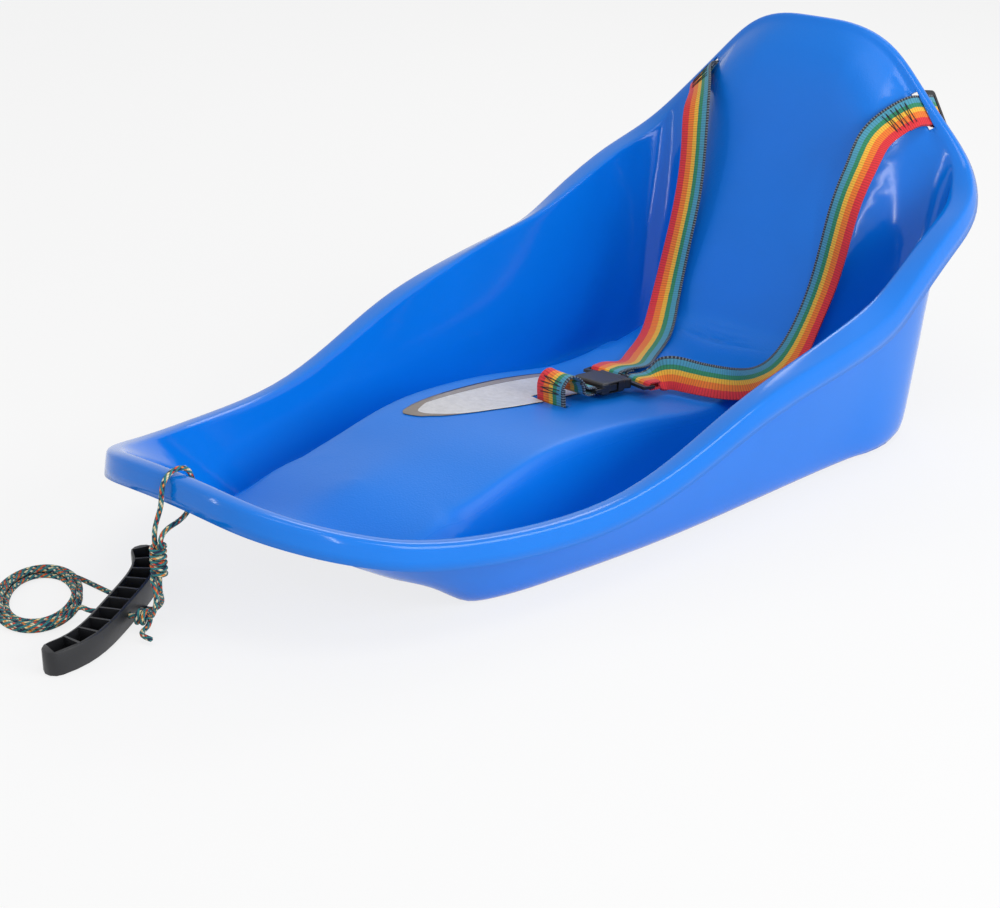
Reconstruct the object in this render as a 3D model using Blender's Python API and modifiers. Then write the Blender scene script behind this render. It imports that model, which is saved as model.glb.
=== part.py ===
"""Child's plastic sled with a moulded backrest, a three-strap harness and a tow rope.

Metres, +Z up, the bow points along -Y, the mirror plane of the moulding is X = 0.
The hull is one blow-thin moulded sheet: a half shell is lofted round the rim, mirrored and
thickened.  The harness, its buckle, the slot adjusters, the rope and the grip are pieces of
their own.
"""
import math

import bmesh
import bpy
import numpy as np
from mathutils import Matrix, Vector

# Main sizes of the moulding, and the sizes at which its tables below are laid out
LENGTH = 0.813
WIDTH = 0.4366
HEIGHT = 0.350
LAID_OUT = (0.4366, 0.813, 0.350)

# Driving dimensions of the moulding
SHEET = 0.0028            # thickness of the moulded sheet
SHIFT_Y = -0.0036         # brings the middle of the sled's length to Y = 0
RIM_ROLL = 0.0035         # rounding of the rim's outer corner
SKIRT_FLARE = 0.002       # how far the skirt leans outward
STEP_DROP = 0.008         # lowered outer edge of the rim beside the seat
BASE_FILLET = 0.010       # rounding between the walls and the flat bottom
REAR_Y = 0.325            # foot of the rear wall
RIBBON_HALF = 0.086       # half width of the raised seat and backrest
TROUGH_EDGE = 0.022       # width of the seat's sloping side
FLANK_EDGE = 0.045        # width of the backrest's broad bevel
CORNER_EDGE = 0.022       # extra width of that side in the seat's rear corners
BOW_EDGE = 0.030          # extra width of that side where it dies out in the bow

# Stations round the half rim, from the middle of the bow to the middle of the backrest:
# rim corner (x, y, z), foot of the wall (x, y), spine y, rim lean in degrees,
# rim width, skirt depth, columns up to the next station
STATIONS = [
    ((0.000, -0.4010, 0.1220), (0.000, -0.250), -0.215, 0, 0.0085, 0.0200, 2),
    ((0.035, -0.4010, 0.1215), (0.040, -0.250), -0.213, 0, 0.0085, 0.0200, 2),
    ((0.069, -0.3970, 0.1180), (0.074, -0.249), -0.209, 0, 0.0085, 0.0200, 3),
    ((0.103, -0.3790, 0.1093), (0.101, -0.245), -0.200, 0, 0.0085, 0.0200, 4),
    ((0.133, -0.3470, 0.0970), (0.124, -0.231), -0.187, 0, 0.0090, 0.0200, 3),
    ((0.157, -0.3030, 0.0845), (0.139, -0.203), -0.168, 0, 0.0090, 0.0200, 3),
    ((0.181, -0.2180, 0.0738), (0.150, -0.155), -0.140, 0, 0.0100, 0.0200, 2),
    ((0.195, -0.1335, 0.0723), (0.158, -0.105), -0.102, 0, 0.0110, 0.0200, 2),
    ((0.2046, -0.0610, 0.0880), (0.165, -0.052), -0.052, 0, 0.0140, 0.0200, 2),
    ((0.211, 0.0105, 0.1126), (0.170, 0.010), 0.010, 0, 0.0170, 0.0205, 2),
    ((0.2145, 0.0860, 0.1306), (0.173, 0.085), 0.080, 0, 0.0170, 0.0210, 3),
    ((0.216, 0.1656, 0.1470), (0.176, 0.160), 0.145, 0, 0.0170, 0.0220, 3),
    ((0.213, 0.2235, 0.1600), (0.180, 0.215), 0.190, 0, 0.0180, 0.0220, 2),
    ((0.205, 0.3095, 0.1976), (0.181, 0.276), 0.225, 10, 0.0190, 0.0220, 2),
    ((0.198, 0.3500, 0.2130), (0.167, 0.307), 0.238, 20, 0.0190, 0.0200, 2),
    ((0.186, 0.3725, 0.2280), (0.152, 0.322), 0.246, 35, 0.0170, 0.0140, 2),
    ((0.169, 0.3825, 0.2470), (0.136, 0.325), 0.251, 50, 0.0090, 0.0090, 2),
    ((0.142, 0.3845, 0.2740), (0.118, 0.325), 0.256, 60, 0.0065, 0.0060, 2),
    ((0.109, 0.3865, 0.3075), (0.098, 0.325), 0.261, 64, 0.0060, 0.0060, 2),
    ((0.086, 0.3875, 0.3295), (0.080, 0.325), 0.264, 65, 0.0060, 0.0060, 2),
    ((0.061, 0.3860, 0.3440), (0.060, 0.325), 0.267, 65, 0.0060, 0.0060, 2),
    ((0.030, 0.3830, 0.3510), (0.030, 0.325), 0.270, 65, 0.0060, 0.0060, 2),
    ((0.000, 0.3820, 0.3515), (0.000, 0.325), 0.272, 65, 0.0060, 0.0060, 0),
]
# Seat along the middle: y, height, drop from the middle to the side
SEAT = [
    (-0.345, 0.0790, 0.0140), (-0.320, 0.0600, 0.0140), (-0.303, 0.0500, 0.0140),
    (-0.285, 0.0475, 0.0140), (-0.262, 0.0525, 0.0135), (-0.225, 0.0620, 0.0125),
    (-0.168, 0.0690, 0.0090), (-0.121, 0.0735, 0.0030), (-0.080, 0.0745, -0.0010),
    (-0.040, 0.0715, -0.0030), (0.010, 0.0645, -0.0060), (0.055, 0.0600, -0.0030),
    (0.100, 0.0545, 0.0000), (0.148, 0.0525, 0.0000), (0.200, 0.0555, 0.0000),
    (0.215, 0.0562, 0.0000),
]
# Backrest along the middle: way along the tub's own floor and wall, then y and z
BACKREST = [
    (0.215, 0.2150, 0.0562), (0.262, 0.2420, 0.0600), (0.300, 0.2580, 0.0665),
    (0.328, 0.2690, 0.0740), (0.348, 0.2780, 0.0860), (0.398, 0.2945, 0.1240),
    (0.448, 0.3125, 0.1600), (0.508, 0.3300, 0.2000), (0.568, 0.3435, 0.2450),
    (0.618, 0.3515, 0.2900), (0.640, 0.3580, 0.3120), (0.655, 0.3650, 0.3300),
    (0.675, 0.3760, 0.3480),
]
WALL_ROWS = (0.05, 0.16, 0.29, 0.43, 0.58, 0.74, 0.88)
FLOOR_ROWS = ((0.130, 0.93), (0.108, 0.84), (0.097, 0.76), (0.086, 0.66), (0.058, 0.44),
              (0.029, 0.22), (0.0, 0.0))

# Openings in the moulding
SLOT_CENTRE = (0.1234, 0.3825, 0.2789)
SLOT_ALONG = (-0.022, 0.006, 0.028)
SLOT_THROUGH = (0.20, 0.97, -0.15)
SLOT_LENGTH = 0.0375
SLOT_WIDTH = 0.0062
CROTCH_SLOT_Y = 0.013
ROPE_HOLE_Y = -0.3796
ROPE_HOLE = 0.0030

# Webbing
WEB_WIDTH = 0.030
WEB = 0.0014
WEB_TURN = 0.0030         # radius of the webbing's turn round a bar
WEB_TAIL = 0.024          # length of each sewn tail at the buckle
SLOT_TAIL = 0.040         # length of each sewn tail at a slot

# Adjusters and buckle
GLIDE_LENGTH = 0.043
GLIDE_WIDTH = 0.018
GLIDE_THICK = 0.0026
WEB_ROOM = 0.0022         # play of the webbing in a window
WING_WALL = 0.0020        # end wall of a window in the yoke
BUCKLE_X = 0.006
BUCKLE_Y = 0.084          # mouth of the housing
BUCKLE_Z = 0.0675
HOUSING_WIDTH = 0.036
HOUSING_LENGTH = 0.030
HOUSING_THICK = 0.011
HOUSING_WALL = 0.0016
YOKE_SPREAD = 0.0190      # each shoulder bar's middle, from the buckle's middle
YOKE_ANGLE = 10           # how far each shoulder bar turns outward, degrees
GLIDE_REACH = 0.0155      # from the middle of a slot to the bar of its adjuster
BAR = 0.0012              # half width of every bar that carries webbing

# Rope and grip
ROPE = 0.0019             # radius of the rope
ROPE_GAP = 0.0003         # between the faces of two stretches of rope
KNOT_TURN = 0.0046        # radius of the wraps of a barrel knot
KNOT_PITCH = 0.0044
LIP_KNOT = (0.0, -0.4135, 0.0605)
LIP_KNOT_TURNS = 5.5
GRIP_LENGTH = 0.176
GRIP_BOW = 0.024          # how far the middle of the grip bows out
GRIP_CURL = 4.0           # how much of the bow lies in the ends
GRIP_HALF = 0.0105        # half width
GRIP_HEIGHT = 0.019
GRIP_WALL = 0.0022
GRIP_POCKETS = 10
GRIP_HOLE_X = 0.0067
GRIP_HOLE = 0.0027        # radius of the rope's hole
GRIP_LOW = (-0.0177, -0.5086, 0.0003)     # foot of the grip's lower end
GRIP_HIGH = (-0.0994, -0.3586, 0.0064)    # foot of its raised end
COIL_CENTRE = (-0.112, -0.441)
COIL_LONG = 0.053
COIL_WIDE = 0.034
COIL_HEADING = 140        # direction of the coil's long axis, degrees
COIL_START = -37.4        # place on the oval where the rope runs in, degrees
COIL_TURNS_IN = 2.3353
COIL_PITCH = 0.0045
COIL_RISE = 0.0043        # from one layer to the next
COIL_STEPS = 24

# Route of the loop: up the front of the bow, over the rim, through the hole, back to the knot
LOOP_ROUTE = [
    (-0.0031, -0.4135, 0.0742), (-0.0031, -0.4135, 0.0800), (-0.0025, -0.4115, 0.0900),
    (-0.0012, -0.4081, 0.1010), (0.0, -0.4073, 0.1125), (0.0, -0.4036, 0.1213),
    (0.0, -0.3945, 0.1257), (0.0, -0.3846, 0.1235), (0.0, -0.3796, 0.1150),
    (0.0, -0.3796, 0.1030), (0.0007, -0.3848, 0.0915), (0.0018, -0.3965, 0.0860),
    (0.0027, -0.4045, 0.0848), (0.0031, -0.4112, 0.0812), (0.0031, -0.4135, 0.0742),
]
LIP_TAIL = [(0.0082, -0.4238, 0.0430), (0.0072, -0.4240, 0.0310), (-0.0010, -0.4215, 0.0190)]
# From inside the knot down to the ground and under the grip to the coil
LEAD_ROUTE = [
    (0.0, -0.4135, 0.0736), (0.0, -0.4135, 0.0600), (0.0, -0.4135, 0.0470),
    (-0.003, -0.4115, 0.0370), (-0.009, -0.4060, 0.0265), (-0.018, -0.3995, 0.0165),
    (-0.029, -0.3965, 0.0071), (-0.041, -0.3955, 0.0025), (-0.056, -0.3960, 0.0020),
    (-0.085, -0.3968, 0.0020), (-0.110, -0.3970, 0.0020),
]
END_ROUTE = [(-0.0647, -0.4455, 0.0105), (-0.0627, -0.4402, 0.0125)]
GRIP_TAIL = [(-0.0060, -0.4275, 0.0062), (0.0060, -0.4270, 0.0045)]

# Harness routes in the sled's frame: point, then the way across the strap
RIGHT_ROUTE = [
    ((0.1100, 0.3560, 0.2710), (-0.70, 0.10, 0.70)),
    ((0.1030, 0.3380, 0.2580), (-0.80, 0.10, 0.60)),
    ((0.1045, 0.3180, 0.2400), (-0.90, 0.10, 0.42)),
    ((0.1030, 0.3010, 0.2140), (-0.98, 0.00, 0.18)),
    ((0.0960, 0.2920, 0.1680), (-1.00, 0.00, 0.00)),
    ((0.0890, 0.2880, 0.1300), (-1.00, 0.05, 0.00)),
    ((0.0850, 0.2700, 0.0920), (-1.00, 0.10, 0.00)),
    ((0.0880, 0.2400, 0.0690), (-0.98, 0.00, 0.15)),
    ((0.0950, 0.1900, 0.0630), (-0.85, 0.10, 0.45)),
    ((0.0900, 0.1520, 0.0670), (-0.40, 0.40, 0.80)),
    ((0.0720, 0.1370, 0.0700), (-0.10, 0.20, 0.97)),
    ((0.0530, 0.1330, 0.0705), (-0.15, 0.10, 0.97)),
    ((0.0380, 0.1250, 0.0715), (-0.65, 0.05, 0.72)),
]
LEFT_ROUTE = [
    ((-0.1060, 0.3480, 0.2760), (0.75, 0.10, 0.65)),
    ((-0.0930, 0.3270, 0.2600), (0.92, 0.10, 0.35)),
    ((-0.0850, 0.3140, 0.2260), (1.00, 0.00, 0.05)),
    ((-0.0810, 0.3030, 0.1820), (1.00, 0.00, 0.00)),
    ((-0.0790, 0.2890, 0.1430), (1.00, 0.00, 0.00)),
    ((-0.0780, 0.2740, 0.1020), (1.00, 0.10, 0.00)),
    ((-0.0700, 0.2540, 0.0760), (0.97, 0.20, 0.00)),
    ((-0.0540, 0.2240, 0.0625), (0.94, 0.32, 0.00)),
    ((-0.0330, 0.1750, 0.0570), (0.94, 0.33, 0.00)),
    ((-0.0150, 0.1330, 0.0640), (0.96, 0.25, 0.00)),
]
CROTCH_ROUTE = [
    ((0.0000, 0.0116, 0.0740), (1.00, 0.00, 0.00)),
    ((0.0005, 0.0130, 0.0835), (1.00, 0.00, 0.00)),
    ((0.0030, 0.0210, 0.0895), (1.00, 0.00, 0.00)),
    ((0.0055, 0.0300, 0.0850), (1.00, 0.00, 0.00)),
]


def spline(knots, values, places):
    """Natural cubic through (knot, value) rows, read at the given places."""
    knots = np.asarray(knots, float)
    values = np.asarray(values, float)
    gap = np.diff(knots)
    slope = np.diff(values, axis=0) / gap[:, None]
    system = np.eye(len(knots))
    right = np.zeros_like(values)
    for k in range(1, len(knots) - 1):
        system[k, k - 1:k + 2] = gap[k - 1], 2 * (gap[k - 1] + gap[k]), gap[k]
        right[k] = 6 * (slope[k] - slope[k - 1])
    bend = np.linalg.solve(system, right)
    places = np.asarray(places, float)
    k = np.clip(np.searchsorted(knots, places, side="right") - 1, 0, len(knots) - 2)
    t = (places - knots[k])[:, None]
    h = gap[k][:, None]
    return (values[k] + t * (slope[k] - h * (2 * bend[k] + bend[k + 1]) / 6)
            + t * t * bend[k] / 2 + t ** 3 * (bend[k + 1] - bend[k]) / (6 * h))


def ease(value):
    """Smooth step from 0 to 1."""
    value = np.clip(value, 0.0, 1.0)
    return value * value * (3 - 2 * value)


def unit(rows):
    """Rows scaled to length one."""
    rows = np.asarray(rows, float)
    return rows / np.maximum(np.linalg.norm(rows, axis=-1, keepdims=True), 1e-12)


def stretch(points):
    """Points of the tables at the moulding's main sizes, with the resting face kept."""
    share = np.array([WIDTH, LENGTH, HEIGHT]) / LAID_OUT
    foot = np.array([0, 0, SHEET])
    return foot + (np.asarray(points, float) - foot) * share


def start_scene():
    """Empty the scene and make the two collections."""
    for item in list(bpy.data.objects):
        bpy.data.objects.remove(item, do_unlink=True)
    sled = bpy.data.collections.new("plastic_sled")
    cutters = bpy.data.collections.new("cutters")
    bpy.context.scene.collection.children.link(sled)
    bpy.context.scene.collection.children.link(cutters)
    return sled, cutters


def make_material(name, colour, roughness, metallic=0.0):
    """Plain Principled material from an sRGB hex colour."""
    def linear(part):
        part = part / 255
        return part / 12.92 if part <= 0.04045 else ((part + 0.055) / 1.055) ** 2.4

    material = bpy.data.materials.new(name)
    material.use_nodes = True
    shader = material.node_tree.nodes["Principled BSDF"]
    shade = [linear(int(colour[k:k + 2], 16)) for k in (0, 2, 4)] + [1.0]
    shader.inputs["Base Color"].default_value = shade
    shader.inputs["Roughness"].default_value = roughness
    shader.inputs["Metallic"].default_value = metallic
    material.diffuse_color = shade
    return material


def add_object(name, mesh, collection, material, sharp=None):
    """Link a mesh as an object, smooth below the sharp angle if one is given."""
    piece = bpy.data.objects.new(name, mesh)
    collection.objects.link(piece)
    mesh.materials.clear()
    mesh.materials.append(material)
    if sharp is not None:
        mesh.shade_smooth()
        mesh.set_sharp_from_angle(angle=math.radians(sharp))
    return piece


def box_mesh(name, size, centre=(0, 0, 0)):
    """Box of a given size about a centre."""
    shell = bmesh.new()
    bmesh.ops.create_cube(shell, size=1.0)
    bmesh.ops.scale(shell, vec=size, verts=shell.verts)
    bmesh.ops.translate(shell, vec=centre, verts=shell.verts)
    mesh = bpy.data.meshes.new(name)
    shell.to_mesh(mesh)
    shell.free()
    return mesh


def prism_mesh(name, outline, low, high):
    """Prism over an outline of (x, y) corners, from height low to high."""
    shell = bmesh.new()
    corners = [shell.verts.new((x, y, low)) for x, y in outline]
    base = shell.faces.new(corners)
    grown = bmesh.ops.extrude_face_region(shell, geom=[base])
    top = [part for part in grown["geom"] if isinstance(part, bmesh.types.BMVert)]
    bmesh.ops.translate(shell, vec=(0, 0, high - low), verts=top)
    bmesh.ops.recalc_face_normals(shell, faces=shell.faces)
    mesh = bpy.data.meshes.new(name)
    shell.to_mesh(mesh)
    shell.free()
    return mesh


def round_edges(piece, width, segments=2, angle=35):
    """Bevel modifier on the sharp edges."""
    bevel = piece.modifiers.new("rounding", "BEVEL")
    bevel.width = width
    bevel.segments = segments
    bevel.limit_method = "ANGLE"
    bevel.angle_limit = math.radians(angle)
    bevel.use_clamp_overlap = True
    return bevel


def cut(piece, cutter, cutters, operation="DIFFERENCE"):
    """Exact boolean with a hidden cutter object."""
    cutters.objects.link(cutter)
    cutter.hide_render = True
    cutter.display_type = "WIRE"
    tool = piece.modifiers.new(cutter.name, "BOOLEAN")
    tool.operation = operation
    tool.solver = "EXACT"
    tool.object = cutter
    return tool


def frame_of(origin, along, across):
    """Matrix with X along the first direction and Y nearest to the second."""
    x = Vector(along).normalized()
    z = x.cross(Vector(across)).normalized()
    y = z.cross(x)
    turn = Matrix((x, y, z)).transposed().to_4x4()
    return Matrix.Translation(Vector(origin)) @ turn


def rim_columns():
    """Station values at every column, and the direction of the rim there."""
    rim = np.array([s[0] for s in STATIONS])
    rows = np.array([(*s[0], *s[1], s[2], s[3], s[4], s[5]) for s in STATIONS])
    way = np.r_[0, np.cumsum(np.linalg.norm(np.diff(rim, axis=0), axis=1))]
    places = [0.0]
    for k, station in enumerate(STATIONS[:-1]):
        step = (way[k + 1] - way[k]) / station[6]
        places += [way[k] + step * (j + 1) for j in range(station[6])]
    flip = np.array([-1, 1, 1, -1, 1, 1, 1, 1, 1])
    knots = np.concatenate([-way[2:0:-1], way, 2 * way[-1] - way[-2:-4:-1]])
    values = np.concatenate([rows[2:0:-1] * flip, rows, rows[-2:-4:-1] * flip])
    places = np.array(places)
    columns = spline(knots, values, places)
    step = 1e-4
    ahead = spline(knots, values, places + step)[:, :3]
    behind = spline(knots, values, places - step)[:, :3]
    return columns, unit(ahead - behind)


def seat_shape(points):
    """Lift the tub's surface to the seat and bring it forward to the backrest."""
    points = points.copy()
    x, y, z = points[:, 0], points[:, 1], points[:, 2]
    rise = z - SHEET
    way = np.where(rise < 0.0005, np.minimum(y, REAR_Y), REAR_Y + rise)
    arch = np.where(y > 0.3, 1.15 * np.maximum(0, z - 0.258), 0)
    side = np.hypot(x, arch)
    edge = TROUGH_EDGE + (FLANK_EDGE - TROUGH_EDGE) * ease(z / 0.2) * ease((y - 0.2) / 0.05)
    edge = edge + CORNER_EDGE * ease((y - 0.15) / 0.10) * (1 - ease(z / 0.2))
    edge = edge + BOW_EDGE * ease((-0.17 - y) / 0.09)
    share = 1 - ease((side - RIBBON_HALF) / edge)
    across = np.clip(np.abs(x) / RIBBON_HALF, 0, 1.2)
    across = np.where(across < 0.15, across ** 2 / 0.3 + 0.075, across) - 0.075
    seat = np.array(SEAT)
    level = spline(seat[:, 0], seat[:, 1:], np.clip(y, seat[0, 0], seat[-1, 0]))
    lift = np.maximum(0, level[:, 0] - level[:, 1] * across - z) * (y >= seat[0, 0])
    back = np.array(BACKREST)
    panel = spline(back[:, 0], back[:, 1:], np.clip(way, back[0, 0], back[-1, 0]))
    front = y <= seat[-1, 0]
    points[:, 2] = np.where(front, z + share * lift, z + share * (panel[:, 1] - z))
    points[:, 1] = np.where(front, y, y + share * (panel[:, 0] - y))
    return points


def half_shell():
    """Grid of the upper face: rim rows, wall rows, floor rows."""
    columns, tangent = rim_columns()
    rim, foot_xy, spine_y = columns[:, :3], columns[:, 3:5], columns[:, 5]
    lean, width, skirt = np.radians(columns[:, 6]), columns[:, 7], columns[:, 8]
    zero = np.zeros(len(rim))
    face = np.stack([zero, -np.sin(lean), np.cos(lean)], 1)
    out = unit(np.cross(tangent, face))
    face = unit(np.cross(out, tangent))
    step = STEP_DROP * ease((rim[:, 1] - 0.02) / 0.18)
    step *= (1 - ease((rim[:, 1] - 0.205) / 0.05)) * (lean < 0.5)

    def offset(outward, facing):
        return rim + out * np.reshape(outward, (-1, 1)) + face * np.reshape(facing, (-1, 1))

    roll = RIM_ROLL
    rows = [
        offset(SKIRT_FLARE * skirt / 0.02, -skirt - step),
        offset(zero, -roll - step),
        offset(zero - roll * 0.3, -roll * 0.3 - step),
        offset(zero - roll, -step),
        offset(-width, zero),
    ]
    corner = offset(-width - roll, zero)
    foot = np.column_stack([foot_xy, zero + SHEET])
    spine = np.column_stack([zero, spine_y, zero + SHEET])
    height = np.linalg.norm(corner - foot, axis=1)
    upper = 1 - BASE_FILLET / height
    tub = []
    for share in WALL_ROWS:
        share = np.maximum(share * upper, 2.2 * roll / height)
        tub.append(corner + (foot - corner) * share[:, None])
    turned = corner + roll * unit(seat_shape(tub[0]) - corner)
    rows += [0.25 * rows[-1] + 0.5 * corner + 0.25 * turned, turned]
    above = corner + (foot - corner) * upper[:, None]
    inward = np.minimum(BASE_FILLET / np.linalg.norm(spine - foot, axis=1), 0.35)
    inside = foot + (spine - foot) * inward[:, None]
    tub += [above, 0.25 * above + 0.5 * foot + 0.25 * inside, inside]
    for x, share in FLOOR_ROWS:
        share = np.minimum(x / np.maximum(inside[:, 0], 1e-6), share)
        tub.append(spine + (inside - spine) * share[:, None])
    grid = np.array(rows + [seat_shape(row) for row in tub])
    grid[:, 0, 0] = 0
    grid[:, -1, 0] = 0
    grid[-1, :, 0] = 0
    return stretch(grid)


def make_hull(sled, cutters, material):
    """Half shell, mirrored and thickened, with its slots and the rope's hole."""
    grid = half_shell()
    rows, columns = grid.shape[:2]
    faces = []
    for i in range(rows - 1):
        for j in range(columns - 1):
            a = i * columns + j
            faces.append((a, a + 1, a + columns + 1, a + columns))
    mesh = bpy.data.meshes.new("hull")
    mesh.from_pydata([tuple(p) for p in grid.reshape(-1, 3)], [], faces)
    shell = bmesh.new()
    shell.from_mesh(mesh)
    bmesh.ops.remove_doubles(shell, verts=shell.verts, dist=1e-6)
    shell.to_mesh(mesh)
    shell.free()
    hull = add_object("hull", mesh, sled, material, 38)
    mirror = hull.modifiers.new("other_half", "MIRROR")
    mirror.use_clip = True
    mirror.merge_threshold = 0.0001
    thick = hull.modifiers.new("sheet", "SOLIDIFY")
    thick.thickness = SHEET
    thick.offset = -1
    thick.use_even_offset = True
    thick.use_quality_normals = True

    for side, name in ((1, "right"), (-1, "left")):
        flip = Vector((side, 1, 1))
        along = Vector(SLOT_ALONG) * flip
        through = Vector(SLOT_THROUGH) * flip
        cutter = bpy.data.objects.new(
            f"slot_{name}", box_mesh("slot", (SLOT_LENGTH, 0.030, SLOT_WIDTH)))
        cutter.matrix_world = frame_of(Vector(stretch(SLOT_CENTRE)) * flip, along, through)
        cut(hull, cutter, cutters)
    crotch = bpy.data.objects.new("slot_crotch", box_mesh("slot", (SLOT_LENGTH, SLOT_WIDTH, 0.030)))
    crotch.location = stretch((0, CROTCH_SLOT_Y, 0.062))
    cut(hull, crotch, cutters)
    shell = bmesh.new()
    bmesh.ops.create_cone(shell, cap_ends=True, segments=16, radius1=ROPE_HOLE,
                          radius2=ROPE_HOLE, depth=0.030)
    bore = bpy.data.meshes.new("rope_hole")
    shell.to_mesh(bore)
    shell.free()
    hole = bpy.data.objects.new("rope_hole", bore)
    hole.location = stretch((0, ROPE_HOLE_Y, 0.110))
    cut(hull, hole, cutters)
    return hull


class Web:
    """Centre line of a strap with its width and normal directions."""

    def __init__(self, route):
        rows = np.array([(*p, *w) for p, w in route], float)
        way = np.r_[0, np.cumsum(np.linalg.norm(np.diff(rows[:, :3], axis=0), axis=1))]
        length = way[-1]
        first = np.arange(0, 0.024, 0.002)
        last = np.arange(length - 0.012, length + 0.001, 0.002)
        middle = np.linspace(0.024, length - 0.014, int(length / 0.0065))
        places = np.concatenate([first, middle, last])
        step = 1e-5
        ahead = spline(way, rows[:, :3], places + step)
        self.along = unit(ahead - spline(way, rows[:, :3], places - step))
        rows = spline(way, rows, places)
        self.points = rows[:, :3]
        width = rows[:, 3:]
        width -= np.sum(width * self.along, axis=1)[:, None] * self.along
        self.width = unit(width)
        self.normal = np.cross(self.along, self.width)

    def end(self, last, side):
        """Bar centre, outward way, width and side normal at one end."""
        k = -1 if last else 0
        out = self.along[k] if last else -self.along[k]
        normal = self.normal[k] * side
        return self.points[k] + normal * WEB_TURN, out, self.width[k], normal

    def turn(self, last, side, tail):
        """Half turn round the bar and the sewn tail lying back on the strap."""
        bar, out, width, normal = self.end(last, side)
        places = [(bar - normal * WEB_TURN * math.cos(math.pi * k / 6)
                   + out * WEB_TURN * math.sin(math.pi * k / 6), width) for k in range(1, 7)]
        points = self.points[::-1] if last else self.points
        widths = self.width[::-1] if last else self.width
        normals = (self.normal[::-1] if last else self.normal) * side
        way = np.r_[0, np.cumsum(np.linalg.norm(np.diff(points, axis=0), axis=1))]
        for reach in np.arange(0.0022, tail + 0.001, 0.0030):
            k = min(int(np.searchsorted(way, reach)), len(points) - 1)
            part = (reach - way[k - 1]) / (way[k] - way[k - 1])
            point = points[k - 1] + (points[k] - points[k - 1]) * part
            lift = 2 * WEB_TURN + (WEB + 0.0007 - 2 * WEB_TURN) * ease((reach - 0.0088) / 0.0047)
            places.append((point + normals[k] * lift, widths[k]))
        return places


def make_strap(name, web, sled, material, start=None, finish=None):
    """Open strip along the webbing, thickened to the webbing's thickness."""
    places = list(zip(web.points, web.width))
    if start:
        places = web.turn(False, *start)[::-1] + places
    if finish:
        places = places + web.turn(True, *finish)
    half = WEB_WIDTH / 2
    points = [p - w * half for p, w in places] + [p + w * half for p, w in places]
    count = len(places)
    faces = [(k, k + 1, count + k + 1, count + k) for k in range(count - 1)]
    mesh = bpy.data.meshes.new(name)
    mesh.from_pydata([tuple(p) for p in points], [], faces)
    strap = add_object(name, mesh, sled, material, 40)
    thick = strap.modifiers.new("webbing", "SOLIDIFY")
    thick.thickness = WEB
    thick.offset = 0
    thick.use_even_offset = True
    return strap


def make_glide(name, web, side, sled, cutters, material):
    """Three-bar slide held in the strap's end turn."""
    bar, out, width, _ = web.end(False, side)
    outline = []
    corner = 0.0035
    for k in range(16):
        angle = 2 * math.pi * (k + 0.5) / 16
        sx, sy = math.cos(angle), math.sin(angle)
        outline.append((math.copysign(GLIDE_LENGTH / 2 - corner, sx) + corner * sx,
                        math.copysign(GLIDE_WIDTH / 2 - corner, sy) + corner * sy))
    mesh = prism_mesh(name, outline, -GLIDE_THICK / 2, GLIDE_THICK / 2)
    glide = add_object(name, mesh, sled, material, 35)
    glide.matrix_world = frame_of(bar, width, out)
    for sign, half in ((1, "outer"), (-1, "inner")):
        window = bpy.data.objects.new(
            f"{name}_{half}_window",
            box_mesh("window", (WEB_WIDTH + WEB_ROOM, 0.0047, 0.02),
                     (0, sign * (BAR + 0.00235), 0)))
        window.matrix_world = glide.matrix_world
        cut(glide, window, cutters)
    round_edges(glide, 0.0004, 1, 60)
    return glide


def buckle_frame():
    """Frame of the buckle, tilted with the seat."""
    tilt = Matrix.Rotation(math.radians(-6), 4, "X")
    return Matrix.Translation(stretch((BUCKLE_X, BUCKLE_Y, BUCKLE_Z))) @ tilt


def buckle_point(x, y, z=0.0):
    """Point of the buckle's own frame in the sled's frame."""
    return np.array(buckle_frame() @ Vector((x, y, z)))


def buckle_way(x, y, z=0.0):
    """Direction of the buckle's own frame in the sled's frame."""
    return np.array(buckle_frame().to_3x3() @ Vector((x, y, z)))


def shoulder_bar(side):
    """Centre of a shoulder strap's bar on the yoke, and the way the bar runs."""
    angle = math.radians(YOKE_ANGLE) * side
    centre = (side * YOKE_SPREAD, 0.0195)
    return centre, (math.cos(angle), -math.sin(angle)), (math.sin(angle), math.cos(angle))


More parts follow.
